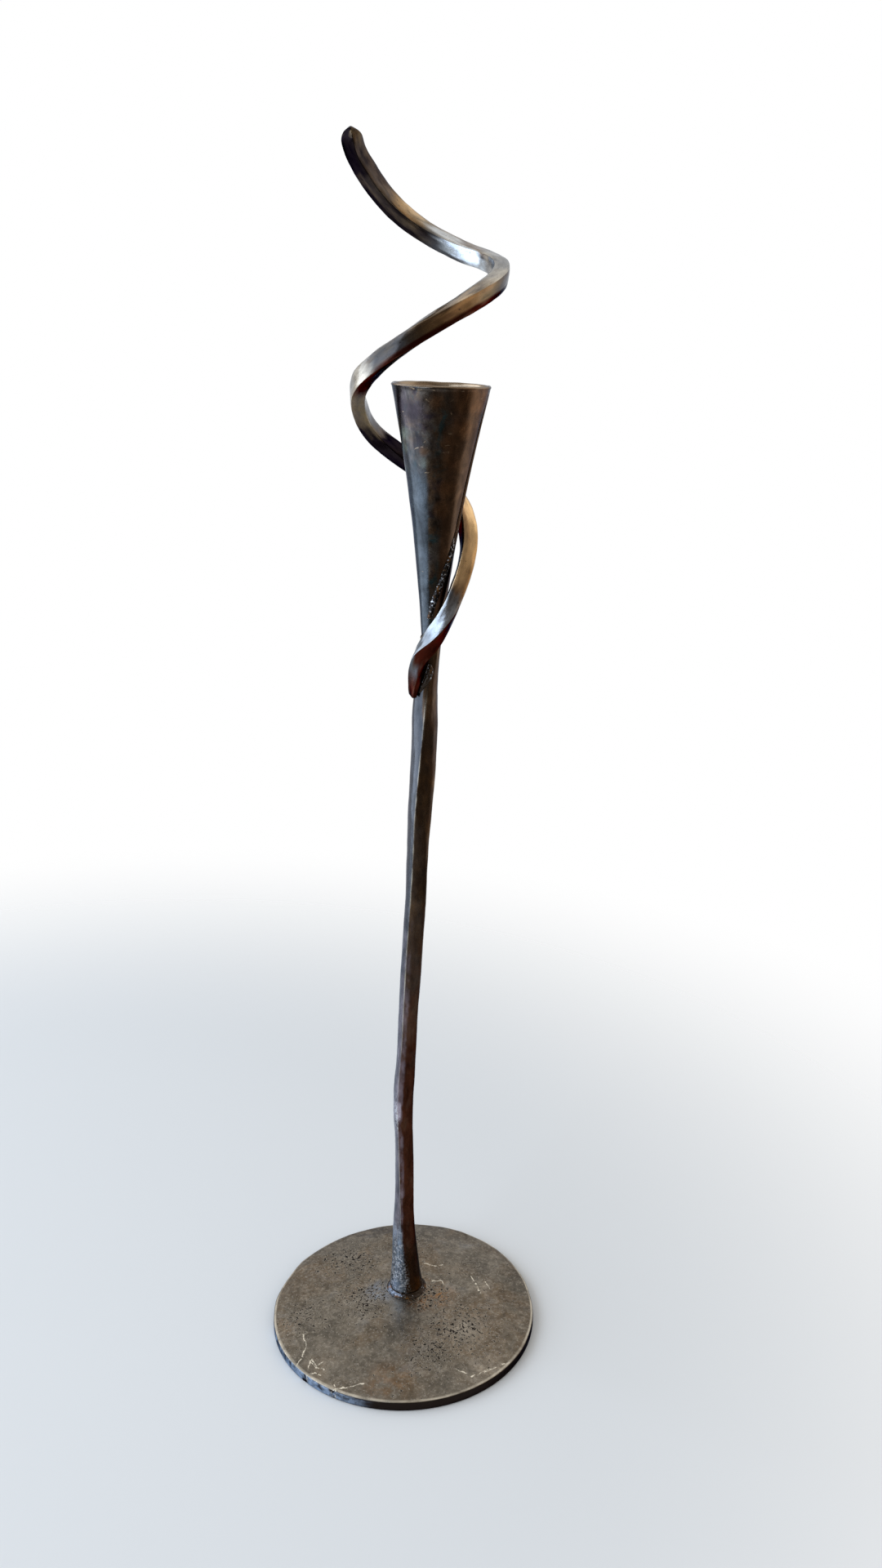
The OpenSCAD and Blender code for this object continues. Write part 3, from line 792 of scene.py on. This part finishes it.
def cone_iron():
    """Rolled sheet: dark mill scale, rubbed, with temper tints from the heat of the welds."""
    colours = bpy.context.scene.candlestick_colours
    material, tree = new_material("rolled_iron_sheet_scaled")
    place = add_node(tree, "TexCoord", {}, out="Object")
    drawn = add_node(tree, "Mapping", {"Vector": place, "Scale": (1, 1, 0.25)})
    layers = [
        (patches(tree, where, width, low, high, warp=0.4), over)
        for where, width, low, high, over in (
            (place, 14 * MM, 0.44, 0.60, colours.cone_warm),
            (place, 7 * MM, 0.54, 0.66, colours.cone_teal),
            (place, 9 * MM, 0.56, 0.68, colours.cone_purple),
            (drawn, 5 * MM, 0.52, 0.66, colours.cone_streak),
        )
    ]
    layers += [
        (cast_share(tree, drawn, cast, 5 * MM), over)
        for cast, over in (
            ("cooled", colours.cone_left_reflection), ("browned", colours.cone_right_reflection),
            ("purpled", colours.cone_purple), ("coppered", colours.cone_copper),
            ("greened", colours.cone_green),
        )
    ]
    tint = lay_over(tree, colours.cone, layers)
    tint = mottle(tree, tint, place, 9 * MM, 0.55, 1.45)
    tint = mottle(tree, tint, drawn, 3.5 * MM, 0.65, 1.35)

    # Ticks 0.5 mm wide, which is wider than real ones, so that they show, and the rubbed lip, with
    # painted light far down its inside
    quarter_turn = (math.radians(-90), 0, 0)
    upright = add_node(tree, "Mapping", {"Vector": place, "Rotation": quarter_turn})
    bright = add_node(tree, "Attribute", {}, out="Fac", attribute_name="arris")
    for share in (
        scratches(tree, place, 5 * MM, 0.07 * MM, 0.30),
        strokes(tree, upright, TICKS, 0.5 * MM),
    ):
        bright = add_node(tree, "Math", {0: bright, 1: share}, operation="MAXIMUM")
    tint = lay_over(tree, tint, ((bright, colours.lip),))
    rough = patches(tree, place, 3 * MM, 0.3, 0.7, start=0.18, end=0.34)
    grain = add_node(tree, "TexNoise", {
        "Vector": place, "Scale": 1 / (1.8 * MM), "Detail": 6.0, "Roughness": 0.65,
    })
    return close_iron(material, tint, rough, grain, 0.06 * MM, 0.25)


def weld_iron(name, ground, sparks_from):
    """Weld metal: rough scale with bare bright specks and a little rust. It sparkles where its
    noise is above sparks_from."""
    colours = bpy.context.scene.candlestick_colours
    material, tree = new_material(name)
    place = add_node(tree, "TexCoord", {}, out="Object")
    # Where the bead is dressed, it takes the sheet's painted warm reflection; on the left of the
    # foot, the painted reflection of the window light
    dressed = add_node(tree, "Attribute", {}, out="Fac", attribute_name="dressed")
    rust = patches(tree, place, 3 * MM, 0.56, 0.80, detail=2.0)
    sparks = patches(tree, place, 1.0 * MM, sparks_from, sparks_from + 0.06, detail=2.0)
    tint = lay_over(tree, ground, (
        (cast_share(tree, place, "bared", 1.5 * MM), colours.foot), (rust, colours.rust),
        (sparks, colours.bare_speck_and_glint), (dressed, colours.cone_right_reflection),
    ))
    rough = patches(tree, place, 0.8 * MM, 0.5, 0.66, start=0.6, end=0.15)
    grain = add_node(tree, "TexNoise", {
        "Vector": place, "Scale": 1 / (0.9 * MM), "Detail": 4.0, "Roughness": 0.6,
    })
    return close_iron(material, tint, rough, grain, 0.25 * MM, 0.2)


def floor_paint(studio):
    """Pale matt floor that fades into the white background towards its edge."""
    material, tree = new_material("pale_matt_floor")
    place = add_node(tree, "TexCoord", {}, out="Object")
    reach = add_node(
        tree, "VectorMath", {0: place, 1: (-studio.floor_left, 0, 0)}, out="Value",
        operation="DISTANCE",
    )
    far = add_node(
        tree, "MapRange",
        {"Value": reach, "From Min": 0.4 * studio.floor_r, "From Max": studio.floor_r},
        interpolation_type="SMOOTHSTEP",
    )
    matt = add_node(tree, "BsdfDiffuse", {"Color": studio.floor})
    clear = add_node(tree, "BsdfTransparent", {})
    both = add_node(tree, "MixShader", {0: far, 1: matt, 2: clear})
    add_node(tree, "OutputMaterial", {"Surface": both})
    return material


def studio_sky(world, studio):
    """White background for the camera, an even light all round, and for what the metal mirrors
    a dim room at the camera's side and a paler ceiling."""
    world.use_nodes = True
    tree = world.node_tree
    tree.nodes.clear()
    rays = add_node(tree, "LightPath", {}).node.outputs
    direction = add_node(tree, "TexCoord", {}, out="Generated")
    sides = add_node(tree, "SeparateXYZ", {"Vector": direction}).node.outputs
    above = add_node(tree, "MapRange", {"Value": sides["Z"], "From Min": 0.3, "From Max": 0.8})
    behind = add_node(
        tree, "MapRange", {"Value": sides["Y"], "From Min": -0.15, "From Max": 0.15}
    )
    mirrored = lay_over(tree, studio.room, ((above, studio.ceiling), (behind, WHITE)))
    gloss = add_node(
        tree, "Math", {0: rays["Is Glossy Ray"], 1: rays["Is Transmission Ray"]},
        operation="MAXIMUM",
    )
    tone = lay_over(tree, studio.sky, ((gloss, mirrored), (rays["Is Camera Ray"], WHITE)))
    sky = add_node(tree, "Background", {"Color": tone, "Strength": 1.0})
    add_node(tree, "OutputWorld", {"Surface": sky})


# Pieces

class CANDLESTICK_OT_plate(bpy.types.Operator):
    """Model the dished base plate with its worn rim, dents and pits"""

    bl_idname = "candlestick.plate"
    bl_label = "Base Plate"
    bl_options = {"REGISTER", "UNDO"}

    def execute(self, context):
        sizes = context.scene.candlestick_sizes
        rim_r = sizes.plate_d / 2
        seat_z = sizes.rim_t + sizes.dish_rise
        land_r = rim_r - sizes.arris_w - sizes.land_w
        reach = rim_r - sizes.seat_r
        core_r = rim_r - sizes.arris_w
        top_z = sizes.rim_t - sizes.arris_w
        arc = [math.radians(a) for a in (15, 30, 45, 60, 75)]
        hollow_rings, side_rings, top_rings, around = 16, 4, 75, 480

        # From the bore outwards below, up the side of the rim, and inwards on the top
        profile = [(sizes.bore_r, sizes.hollow_h)]
        for share in (k / hollow_rings for k in range(hollow_rings + 1)):
            r = sizes.seat_r + (land_r - sizes.seat_r) * share
            profile.append((r, sizes.hollow_h * (1 - share ** 2)))
        profile.append((core_r, 0.0))
        profile += [(core_r + sizes.arris_w * math.sin(a), sizes.arris_w * (1 - math.cos(a)))
                    for a in arc]
        profile += [(rim_r, sizes.arris_w + (top_z - sizes.arris_w) * k / side_rings)
                    for k in range(side_rings + 1)]
        profile += [(core_r + sizes.arris_w * math.cos(a), top_z + sizes.arris_w * math.sin(a))
                    for a in arc]
        profile.append((core_r, sizes.rim_t))
        for share in (1 - k / top_rings for k in range(1, top_rings + 1)):
            r = sizes.seat_r + reach * share
            if r < core_r:
                profile.append((r, sizes.rim_t + sizes.dish_rise * (1 - share * share)))
        profile.append((sizes.bore_r, seat_z))
        plate = lathe("forged_plate", around, profile)

        def worn_at(p, way):
            edge = fall(sizes.rim_t - 0.12 * MM - p.z, 0.2 * MM)
            return 0.85 * edge * fall(core_r - p.xy.length, 0.3 * MM)

        def side_at(p, way):
            at_rim = fall(rim_r - 0.6 * MM - p.xy.length, 1.0 * MM)
            return at_rim if p.z < sizes.rim_t - 0.4 * MM else 0.0

        # Painted reflection of the window light on the side of the rim at the front left
        def painted_glint_at(p, way):
            front_left = Vector((-0.75, -0.66, 0))
            return side_at(p, way) * fall(0.93 - way.dot(front_left), 0.15)

        paint(plate, "arris", worn_at)
        paint(plate, "side", side_at)
        paint(plate, "glinted", painted_glint_at)

        # The foot stands off the middle, and the outline is round by eye
        foot = Vector((sizes.foot_right, sizes.foot_back, 0))
        for vert in plate.data.vertices:
            r = vert.co.xy.length
            share = clamped((r - sizes.seat_r) / reach)
            turn = math.atan2(vert.co.y, vert.co.x)
            wave = (0.005 * math.cos(2 * turn - math.radians(165))
                    + 0.007 * math.cos(3 * turn + math.radians(124)))
            outwards = Vector((math.cos(turn), math.sin(turn), 0))
            vert.co += foot * (1 - share) + outwards * (rim_r * wave * share)

        def top_at(p, way):
            from_foot = ((p.xy - foot.xy).length - sizes.seat_r) / (6 * MM)
            return min(from_foot, 1.0) if p.z > sizes.rim_t * 0.5 else 0.0

        # Pits and casts on the top, seen from above: place and reach in mm, and strength
        for name, places in (
            ("pitted", (
                (-17, -1, 24, 1.0), (-27, 28, 26, 1.0), (24, -20, 28, 1.0), (13, -33, 20, 1.0),
                (-44, -10, 20, 0.8), (10, 0, 20, 1.0), (30, 20, 20, 0.5), (0, 40, 20, 0.6),
            )),
            ("rusted", FOOT_RUST + ((-6, -50, 16, 0.45),)),
            # Smoke at the foot, and painted shade on the plate in front of it
            ("smoked", ((3, 5, 12, 0.8), (-1, -22, 10, 0.9), (14, -36, 12, 0.8))),
            # Painted reflection of the window light on the plate left of the foot
            ("blued", ((-11, 3, 11, 1.0),)),
            ("scuffed", (
                (28, -22, 14, 0.8), (36, -42, 12, 1.0), (-36, -38, 10, 0.6), (22, 22, 14, 0.6),
                (34, 8, 7, 0.9), (-4, -8, 8, 0.9),
            )),
        ):
            paint(plate, name, lambda p, way: (
                spots(p.xy, places) if p.z > sizes.rim_t * 0.9 else 0.0
            ))
        paint(plate, "top", top_at)
        beat(plate, "dents", "VORONOI", 16 * MM, 0.5 * MM, "top",
             distance_metric="DISTANCE_SQUARED", noise_intensity=1.0)
        beat(plate, "waves", "CLOUDS", 22 * MM, 0.7 * MM, "top", noise_depth=1)
        beat(plate, "grain", "CLOUDS", 4 * MM, 0.12 * MM, "top", noise_depth=3)
        beat(plate, "pits", "CLOUDS", sizes.pit_w, -sizes.pit_depth, "pitted",
             band=(0.55, 0.70), noise_depth=2, shift=0.3)
        keep_inside(plate, "base_plate")
        finish_piece(plate, ["base_plate"], plate_iron())
        return {"FINISHED"}


class CANDLESTICK_OT_stem(bpy.types.Operator):
    """Model the hammered stem with its flared foot"""

    bl_idname = "candlestick.stem"
    bl_label = "Stem"
    bl_options = {"REGISTER", "UNDO"}

    def execute(self, context):
        sizes = context.scene.candlestick_sizes
        colours = context.scene.candlestick_colours
        stem = copy_node("stem", "forged_stem")
        mark_arrises(stem, math.radians(26), math.radians(40), 0.55)
        smooth(stem, 3)
        right = Vector((0.9, -0.4, 0)).normalized()
        ridges_z = 105 * MM
        knuckle_z = 107 * MM

        # Painted warm reflection on the faces that look right, strongest low on the stem
        def warm_reflection_at(p, way):
            low = fall(p.z - 90 * MM, 150 * MM) * (1 - 0.7 * fall(p.z - 12 * MM, 35 * MM))
            return max((0.25 + 0.5 * low) * fall(0.90 - way.dot(right), 0.2),
                       0.85 * low * fall(0.35 - way.dot(right), 0.3))

        # Painted glints in flecks: on the left of the ridges near 105 mm, on the foot and low on
        # the stem
        def painted_glint_at(p, way):
            ridges = fall(abs(p.z - ridges_z), 16 * MM) * fall(0.80 - way.dot(LEFT), 0.2)
            low = fall(p.z - 24 * MM, 8 * MM) * fall(0.45 - way.dot(LEFT), 0.3)
            return max(0.9 * ridges, foot_left(p, way), low)

        # The left and right ends of each level of the stem
        level_h = 4 * MM
        spans = {}
        for vert in stem.data.vertices:
            level = round(vert.co.z / level_h)
            low, high = spans.get(level, (vert.co.x, vert.co.x))
            spans[level] = (min(low, vert.co.x), max(high, vert.co.x))

        def highlight_strip_at(p, way):
            """Painted highlight: a strip low on the stem's left, and one on a knuckle. Across is 0
            at the left side of the stem and 1 at its right side."""
            low, high = spans[round(p.z / level_h)]
            across = (p.x - low) / max(high - low, MM)
            below = fall(p.z - 150 * MM, 80 * MM) * fall(40 * MM - p.z, 20 * MM)
            strip = max(0.42 * fall(across - 0.20, 0.18), 0.24 * fall(across - 0.40, 0.2))
            knuckle = fall(abs(p.z - knuckle_z) - 2 * MM, 5 * MM) * fall(across - 0.30, 0.2)
            return max(below * strip, knuckle) if way.y < 0 else 0.0

        def rusted_at(p, way):
            return fall(p.z - 12 * MM, 10 * MM) * spots(p.xy, FOOT_RUST)

        paint(stem, "streaked", highlight_strip_at)
        paint(stem, "rusted", rusted_at)
        paint(stem, "glinted", painted_glint_at)
        # Painted reflection of the window light on the faces that look left
        paint(stem, "cooled", lambda p, way: fall(0.88 - way.dot(LEFT), 0.12))
        paint(stem, "reddened", warm_reflection_at)
        # Painted reflection of the window light on the left of the foot
        paint(stem, "bared", foot_left)
        beat(stem, "bends", "CLOUDS", 12 * MM, 0.9 * MM, stretch=2.6, noise_depth=1)
        beat(stem, "lumps", "CLOUDS", 4 * MM, 0.22 * MM, stretch=2.0, noise_depth=2)
        keep_inside(stem, "stem")
        material = bar_iron(
            "forged_iron_stem_waxed", "", colours.stem, colours.stem_warm, colours.stem_cool,
            stretch=2.5,
            casts={
                "cooled": colours.left_reflection_grey, "reddened": colours.stem_warm_reflection,
                "streaked": colours.stem_highlight, "rusted": colours.rust, "bared": colours.foot,
            },
            dark=("reddened",),
        )
        finish_piece(stem, ["stem"], material)
        return {"FINISHED"}


class CANDLESTICK_OT_cone(bpy.types.Operator):
    """Model the rolled sheet cone that takes the candle"""

    bl_idname = "candlestick.cone"
    bl_label = "Candle Cone"
    bl_options = {"REGISTER", "UNDO"}

    def execute(self, context):
        sizes = context.scene.candlestick_sizes
        foot_r = sizes.cone_foot_d / 2
        opening = sizes.mouth_d / 2 - foot_r
        half_wall = sizes.cone_wall / 2
        bands, around = 84, 240

        def outer_r(share):
            return foot_r + opening * share * (0.55 + 0.45 * share)

        # Up the outside, round the lip and down the inside
        profile = [(outer_r(k / bands), sizes.cone_h * k / bands) for k in range(bands)]
        lip_r = outer_r(1) - half_wall
        lip_z = sizes.cone_h - half_wall
        profile += [(lip_r + half_wall * math.cos(a), lip_z + half_wall * math.sin(a))
                    for a in (math.radians(d) for d in (0, 30, 60, 90, 120, 150, 180))]
        profile += [(outer_r(k / bands) - sizes.cone_wall, sizes.cone_h * k / bands)
                    for k in range(bands - 1, -1, -1)]
        cone = lathe("rolled_cone", around, profile)

        def lip_and_lit_inside_at(p, way):
            """The lip is rubbed over 0.5 mm outside; inside, the wall is painted pale far down as
            painted light.
            """
            soft = 30 * MM if way.dot(Vector((p.x, p.y, 0))) < 0 else 0.5 * MM
            return fall(sizes.cone_h - 0.25 * MM - p.z, soft)

        paint(cone, "arris", lip_and_lit_inside_at)
        paint(cone, "mouth", lambda p, way: fall(sizes.cone_h - p.z, 30 * MM))

        # Where the cone's lower end stands, and how it leans
        foot_at = Vector((15.087, -5.615, 318.495)) * MM
        lean_right = Matrix.Rotation(math.radians(2.5), 4, "Y")
        lean_front = Matrix.Rotation(math.radians(3.3), 4, "X")
        cone.matrix_world = Matrix.Translation(foot_at) @ lean_right @ lean_front
        pick(cone)
        bpy.ops.object.transform_apply(location=True, rotation=True, scale=True)
        left = Vector((-0.8, -0.6, 0)).normalized()
        right = Vector((0.85, -0.5, 0)).normalized()
        front_y = -6 * MM

        def left_reflection_at(p, way):
            """Painted reflection of the window light on the left of the sheet: mostly low on the
            cone, below 372 mm, and weakly above it.
            """
            low = 0.15 + 0.85 * fall(p.z - 372 * MM, 22 * MM)
            return low * fall(0.86 - way.dot(left), 0.10)

        # Casts on the front of the sheet, seen from there: place and reach in mm, and strength
        for name, places in (
            ("purpled", (
                (9, 402, 8, 0.9), (3, 404, 8, 1.0), (11, 391, 5, 0.5), (24, 399, 6, 0.4),
            )),
            ("coppered", (
                (18, 405, 5, 0.8), (30, 405, 9, 1.0), (27, 396, 7, 0.8), (13, 388, 3, 0.7),
                (22, 384, 5, 0.8), (21, 375, 5, 0.9), (19, 367, 5, 0.7), (22, 391, 6, 0.6),
            )),
            ("greened", (
                (4, 389, 4, 0.9), (4.5, 381, 4, 0.9), (13, 384, 4, 0.5), (5, 394, 4, 0.7),
            )),
        ):
            paint(cone, name, lambda p, way: spots(p.xz, places) if p.y < front_y else 0.0)
        paint(cone, "cooled", left_reflection_at)
        # Painted warm reflection on the faces that look right
        paint(cone, "browned", lambda p, way: fall(0.80 - way.dot(right), 0.3))
        beat(cone, "dents", "VORONOI", 12 * MM, 0.22 * MM, distance_metric="DISTANCE_SQUARED")
        beat(cone, "lip", "CLOUDS", 9 * MM, 0.5 * MM, "mouth", noise_depth=1)
        keep_inside(cone, "candle_cone")
        finish_piece(cone, ["candle_cone"], cone_iron())
        return {"FINISHED"}


class CANDLESTICK_OT_tendril(bpy.types.Operator):
    """Model the hammered tendril that winds round the cone"""

    bl_idname = "candlestick.tendril"
    bl_label = "Tendril"
    bl_options = {"REGISTER", "UNDO"}

    def execute(self, context):
        sizes = context.scene.candlestick_sizes
        colours = context.scene.candlestick_colours
        tendril = copy_node("tendril", "forged_tendril")
        straighten(tendril)
        mark_arrises(tendril, math.radians(20), math.radians(34), 0.75)
        smooth(tendril, 2)

        # The ways that several zones share
        low_front, low_left = (-0.45, -0.65, -0.6), (-0.9, -0.1, -0.4)
        right_low, lower = (0.7, -0.45, -0.5), (0.2, -0.3, -0.93)
        top, front, up_front = (0.3, -0.5, 0.8), (0.1, -1.0, -0.1), (-0.6, -0.65, 0.45)
        # Painted reflection of the window light on the faces that look left and front
        paint_bar(tendril, "silvered", (
            (14, 42, 1.0, up_front), (262, 286, 0.9, low_front), (156, 192, 0.6, (-0.3, -0.9, 0.1)),
        ))
        # Painted highlights: bright flashes of the window light
        paint_bar(tendril, "bright", (
            (35, 36, 1.0, (-0.15, -0.95, 0.3)), (16, 30, 0.35, up_front),
        ), (
            (284, 286, 1.0, (-0.2, -0.7, 0.6)), (273, 277, 1.0, (-0.5, -0.85, -0.1)),
            (262, 266, 0.7, (-0.6, -0.6, -0.5)),
        ))
        # Painted highlights: pale faces where the light falls
        paint_bar(tendril, "paled", (
            (236, 258, 0.9, (0.1, -0.55, 0.82)), (240, 252, 0.5, (-0.95, -0.25, 0.1)),
            (148, 170, 0.7, (-0.8, -0.6, 0.0)), (214, 230, 0.4, (0.0, -0.6, 0.8)),
            (262, 300, 0.35, (0.2, -0.5, 0.85)),
        ))
        # Copper temper tint, brightened as a painted highlight on the faces that look front and
        # right
        paint_bar(tendril, "gilded", (
            (50, 88, 0.95, (0.2, -0.9, 0.3)), (202, 230, 0.35, front), (264, 290, 0.25, top),
            (84, 106, 0.9, (0.8, -0.5, 0.2)),
        ))
        # Painted gold highlights on faces and edges
        paint_bar(tendril, "glowing", (
            (56, 58, 0.7, (0.0, -0.9, 0.4)),
        ), (
            (66, 100, 1.0, (0.8, -0.55, 0.2)), (303, 304, 0.45, (0.6, -0.6, 0.5)),
            (210, 220, 0.25, (-0.1, -0.6, 0.8)),
        ))
        # Painted warm reflection and shade on the faces that look down
        paint_bar(tendril, "reddened", (
            (12, 24, 0.8, (0.3, -0.85, -0.4)), (0, 34, 1.0, right_low), (44, 86, 0.9, low_left),
            (0, 4, 0.7, (-0.4, -0.85, -0.3)), (170, 236, 0.9, (0.2, -0.45, -0.87)),
        ), (
            (186, 240, 0.8, lower),
        ))
        # Dark scale near the tip, with painted shade on the faces that look down
        paint_bar(tendril, "scaled", (
            (330, 350, 0.7, low_front), (330, 350, 0.5, (0.8, -0.5, -0.2)),
            (330, 350, 1.0, (-0.3, -0.4, -0.85)), (104, 134, 1.0, (-0.5, -0.8, -0.3)),
            (104, 140, 1.0, (0.2, -0.9, 0.3)), (312, 350, 0.35, top), (292, 350, 0.6, low_front),
        ), (
            (296, 350, 0.8, low_left), (322, 350, 0.5, (0.9, -0.1, 0.3)),
        ))
        # Painted shade on the left of the loop, and low near the tip
        paint_bar(tendril, "shaded", (), (
            (62, 102, 0.35, (-0.75, -0.6, 0.25)), (296, 330, 0.5, (0.1, -0.9, -0.3)),
        ))
        beat(tendril, "dents", "VORONOI", sizes.dent_w, sizes.dent_depth,
             distance_metric="DISTANCE_SQUARED")
        beat(tendril, "lumps", "CLOUDS", 5 * MM, 0.2 * MM, noise_depth=2)
        beat(tendril, "hammering", "VORONOI", 3 * MM, 0.15 * MM, "silvered",
             distance_metric="DISTANCE_SQUARED")
        keep_inside(tendril, "tendril")
        material = bar_iron(
            "forged_iron_tendril_waxed", "bar_place", colours.tendril, colours.tendril_gold,
            colours.tendril_dark_and_shade,
            stretch=3.0,
            casts={
                "gilded": colours.copper, "silvered": colours.left_reflection_grey, "bright": colours.silver,
                "paled": colours.burnish_and_highlight, "shaded": colours.tendril_dark_and_shade,
                "glowing": colours.gold, "reddened": colours.red, "scaled": colours.scale,
            },
            dark=("reddened", "scaled"),
        )
        finish_piece(tendril, ["tendril"], material)
        return {"FINISHED"}


class CANDLESTICK_OT_welds(bpy.types.Operator):
    """Model the four welds as rough beads. The seam's bead is dressed flush above 350 mm"""

    bl_idname = "candlestick.welds"
    bl_label = "Welds"
    bl_options = {"REGISTER", "UNDO"}

    def execute(self, context):
        sizes = context.scene.candlestick_sizes
        colours = context.scene.candlestick_colours
        black = weld_iron("weld_scale_black", colours.weld, 0.58)
        brown = weld_iron("weld_scale_brown", colours.weld_brown, 0.66)

        def dressed_at(p, way):
            return 1 - fall(p.z - 350 * MM, 12 * MM)

        for node, name, levels, lump, material in (
            ("foot_weld", "foot_weld_bead", 3, 0.5 * MM, brown),
            ("root_weld", "root_weld_bead", 2, 0.3 * MM, black),
            ("seam_weld", "seam_weld_bead", 3, 0.5 * MM, black),
            ("tendril_weld", "crotch_weld_bead", 3, 0.5 * MM, brown),
        ):
            weld = copy_node(node, name)
            smooth(weld, levels)
            # Painted reflection of the window light on the left of the foot weld
            paint(weld, "bared", lambda p, way: 0.35 * foot_left(p, way))
            paint(weld, "dressed", dressed_at)
            paint(weld, "lumpy", lambda p, way: 1 - 0.9 * dressed_at(p, way))
            beat(weld, "lumps", "CLOUDS", sizes.ripple_w, lump, "lumpy", noise_depth=2)
            keep_inside(weld, node)
            finish_piece(weld, [node], material)
        return {"FINISHED"}


# Studio

class CANDLESTICK_OT_studio(bpy.types.Operator):
    """Set up the pale floor, the soft lights, the white background and the camera"""

    bl_idname = "candlestick.studio"
    bl_label = "Studio"
    bl_options = {"REGISTER", "UNDO"}

    def execute(self, context):
        studio = context.scene.candlestick_studio
        deselect_all()
        bpy.ops.mesh.primitive_circle_add(
            vertices=studio.sides, radius=studio.floor_r, fill_type="NGON",
            location=(-studio.floor_left, 0, -0.05 * MM),
        )
        floor = context.object
        floor.name = "pale_floor"
        bpy.ops.object.transform_apply(location=True, rotation=True, scale=True)
        floor.data.materials.append(floor_paint(studio))

        # Each panel's power comes from its brightness and its area
        middle = (cad_box[0] + cad_box[1]) / 2
        for name, turn, distance, width, height, strength, tone in (
            ("window_panel", -studio.window_turn, 1.5, 2.8, 2.2, studio.window_strength,
             studio.window_tone),
            ("fill_panel", studio.fill_turn, 1.6, 1.6, 1.6, studio.fill_strength,
             studio.fill_tone),
        ):
            away = Vector((math.sin(turn), -math.cos(turn), 0.25)).normalized()
            bpy.ops.object.light_add(type="AREA", location=middle + away * distance)
            lamp = context.object
            lamp.name = name
            lamp.rotation_euler = away.to_track_quat("Z", "Y").to_euler()
            lamp.data.shape = "RECTANGLE"
            lamp.data.size = width
            lamp.data.size_y = height
            lamp.data.energy = strength * math.pi * width * height
            lamp.data.color = tone
            lamp.visible_camera = False

        world = bpy.data.worlds.new("white_studio")
        context.scene.world = world
        studio_sky(world, studio)

        bpy.ops.object.camera_add(location=studio.eye)
        camera = context.object
        camera.name = "photo_camera"
        camera.data.lens = studio.lens
        camera.data.sensor_width = 36
        forward = Vector((0, math.cos(studio.pitch), -math.sin(studio.pitch)))
        level_right = Vector((1, 0, 0))
        level_up = level_right.cross(forward)
        right = level_right * math.cos(studio.roll) - level_up * math.sin(studio.roll)
        up = right.cross(forward)
        turn = Matrix((right, up, -forward)).transposed()
        camera.rotation_euler = turn.to_euler()
        camera.data.clip_start = 0.01
        context.scene.camera = camera
        context.scene.view_settings.view_transform = "Standard"
        return {"FINISHED"}


class CANDLESTICK_PT_panel(bpy.types.Panel):
    """Lists the steps that make the candlestick"""

    bl_idname = "CANDLESTICK_PT_panel"
    bl_label = "Forged Candlestick"
    bl_space_type = "VIEW_3D"
    bl_region_type = "UI"
    bl_category = "Candlestick"

    def draw(self, context):
        for step in STEPS:
            self.layout.operator(step.bl_idname)
        for group in ("sizes", "colours", "studio"):
            settings = getattr(context.scene, "candlestick_" + group)
            box = self.layout.box()
            box.label(text=group.capitalize())
            for key in settings.bl_rna.properties.keys():
                if key not in ("rna_type", "name"):
                    box.prop(settings, key)


GROUPS = {
    "candlestick_sizes": CandlestickSizes,
    "candlestick_colours": CandlestickColours,
    "candlestick_studio": CandlestickStudio,
}
STEPS = (
    CANDLESTICK_OT_plate,
    CANDLESTICK_OT_stem,
    CANDLESTICK_OT_cone,
    CANDLESTICK_OT_tendril,
    CANDLESTICK_OT_welds,
    CANDLESTICK_OT_studio,
)


def register():
    for cls in (*GROUPS.values(), *STEPS, CANDLESTICK_PT_panel):
        bpy.utils.register_class(cls)
    for name, group in GROUPS.items():
        setattr(bpy.types.Scene, name, PointerProperty(type=group))


def unregister():
    for name in GROUPS:
        delattr(bpy.types.Scene, name)
    for cls in reversed((*GROUPS.values(), *STEPS, CANDLESTICK_PT_panel)):
        bpy.utils.unregister_class(cls)


def main():
    register()
    for step in (
        bpy.ops.candlestick.plate,
        bpy.ops.candlestick.stem,
        bpy.ops.candlestick.cone,
        bpy.ops.candlestick.tendril,
        bpy.ops.candlestick.welds,
        bpy.ops.candlestick.studio,
    ):
        step()


if __name__ == "__main__":
    main()
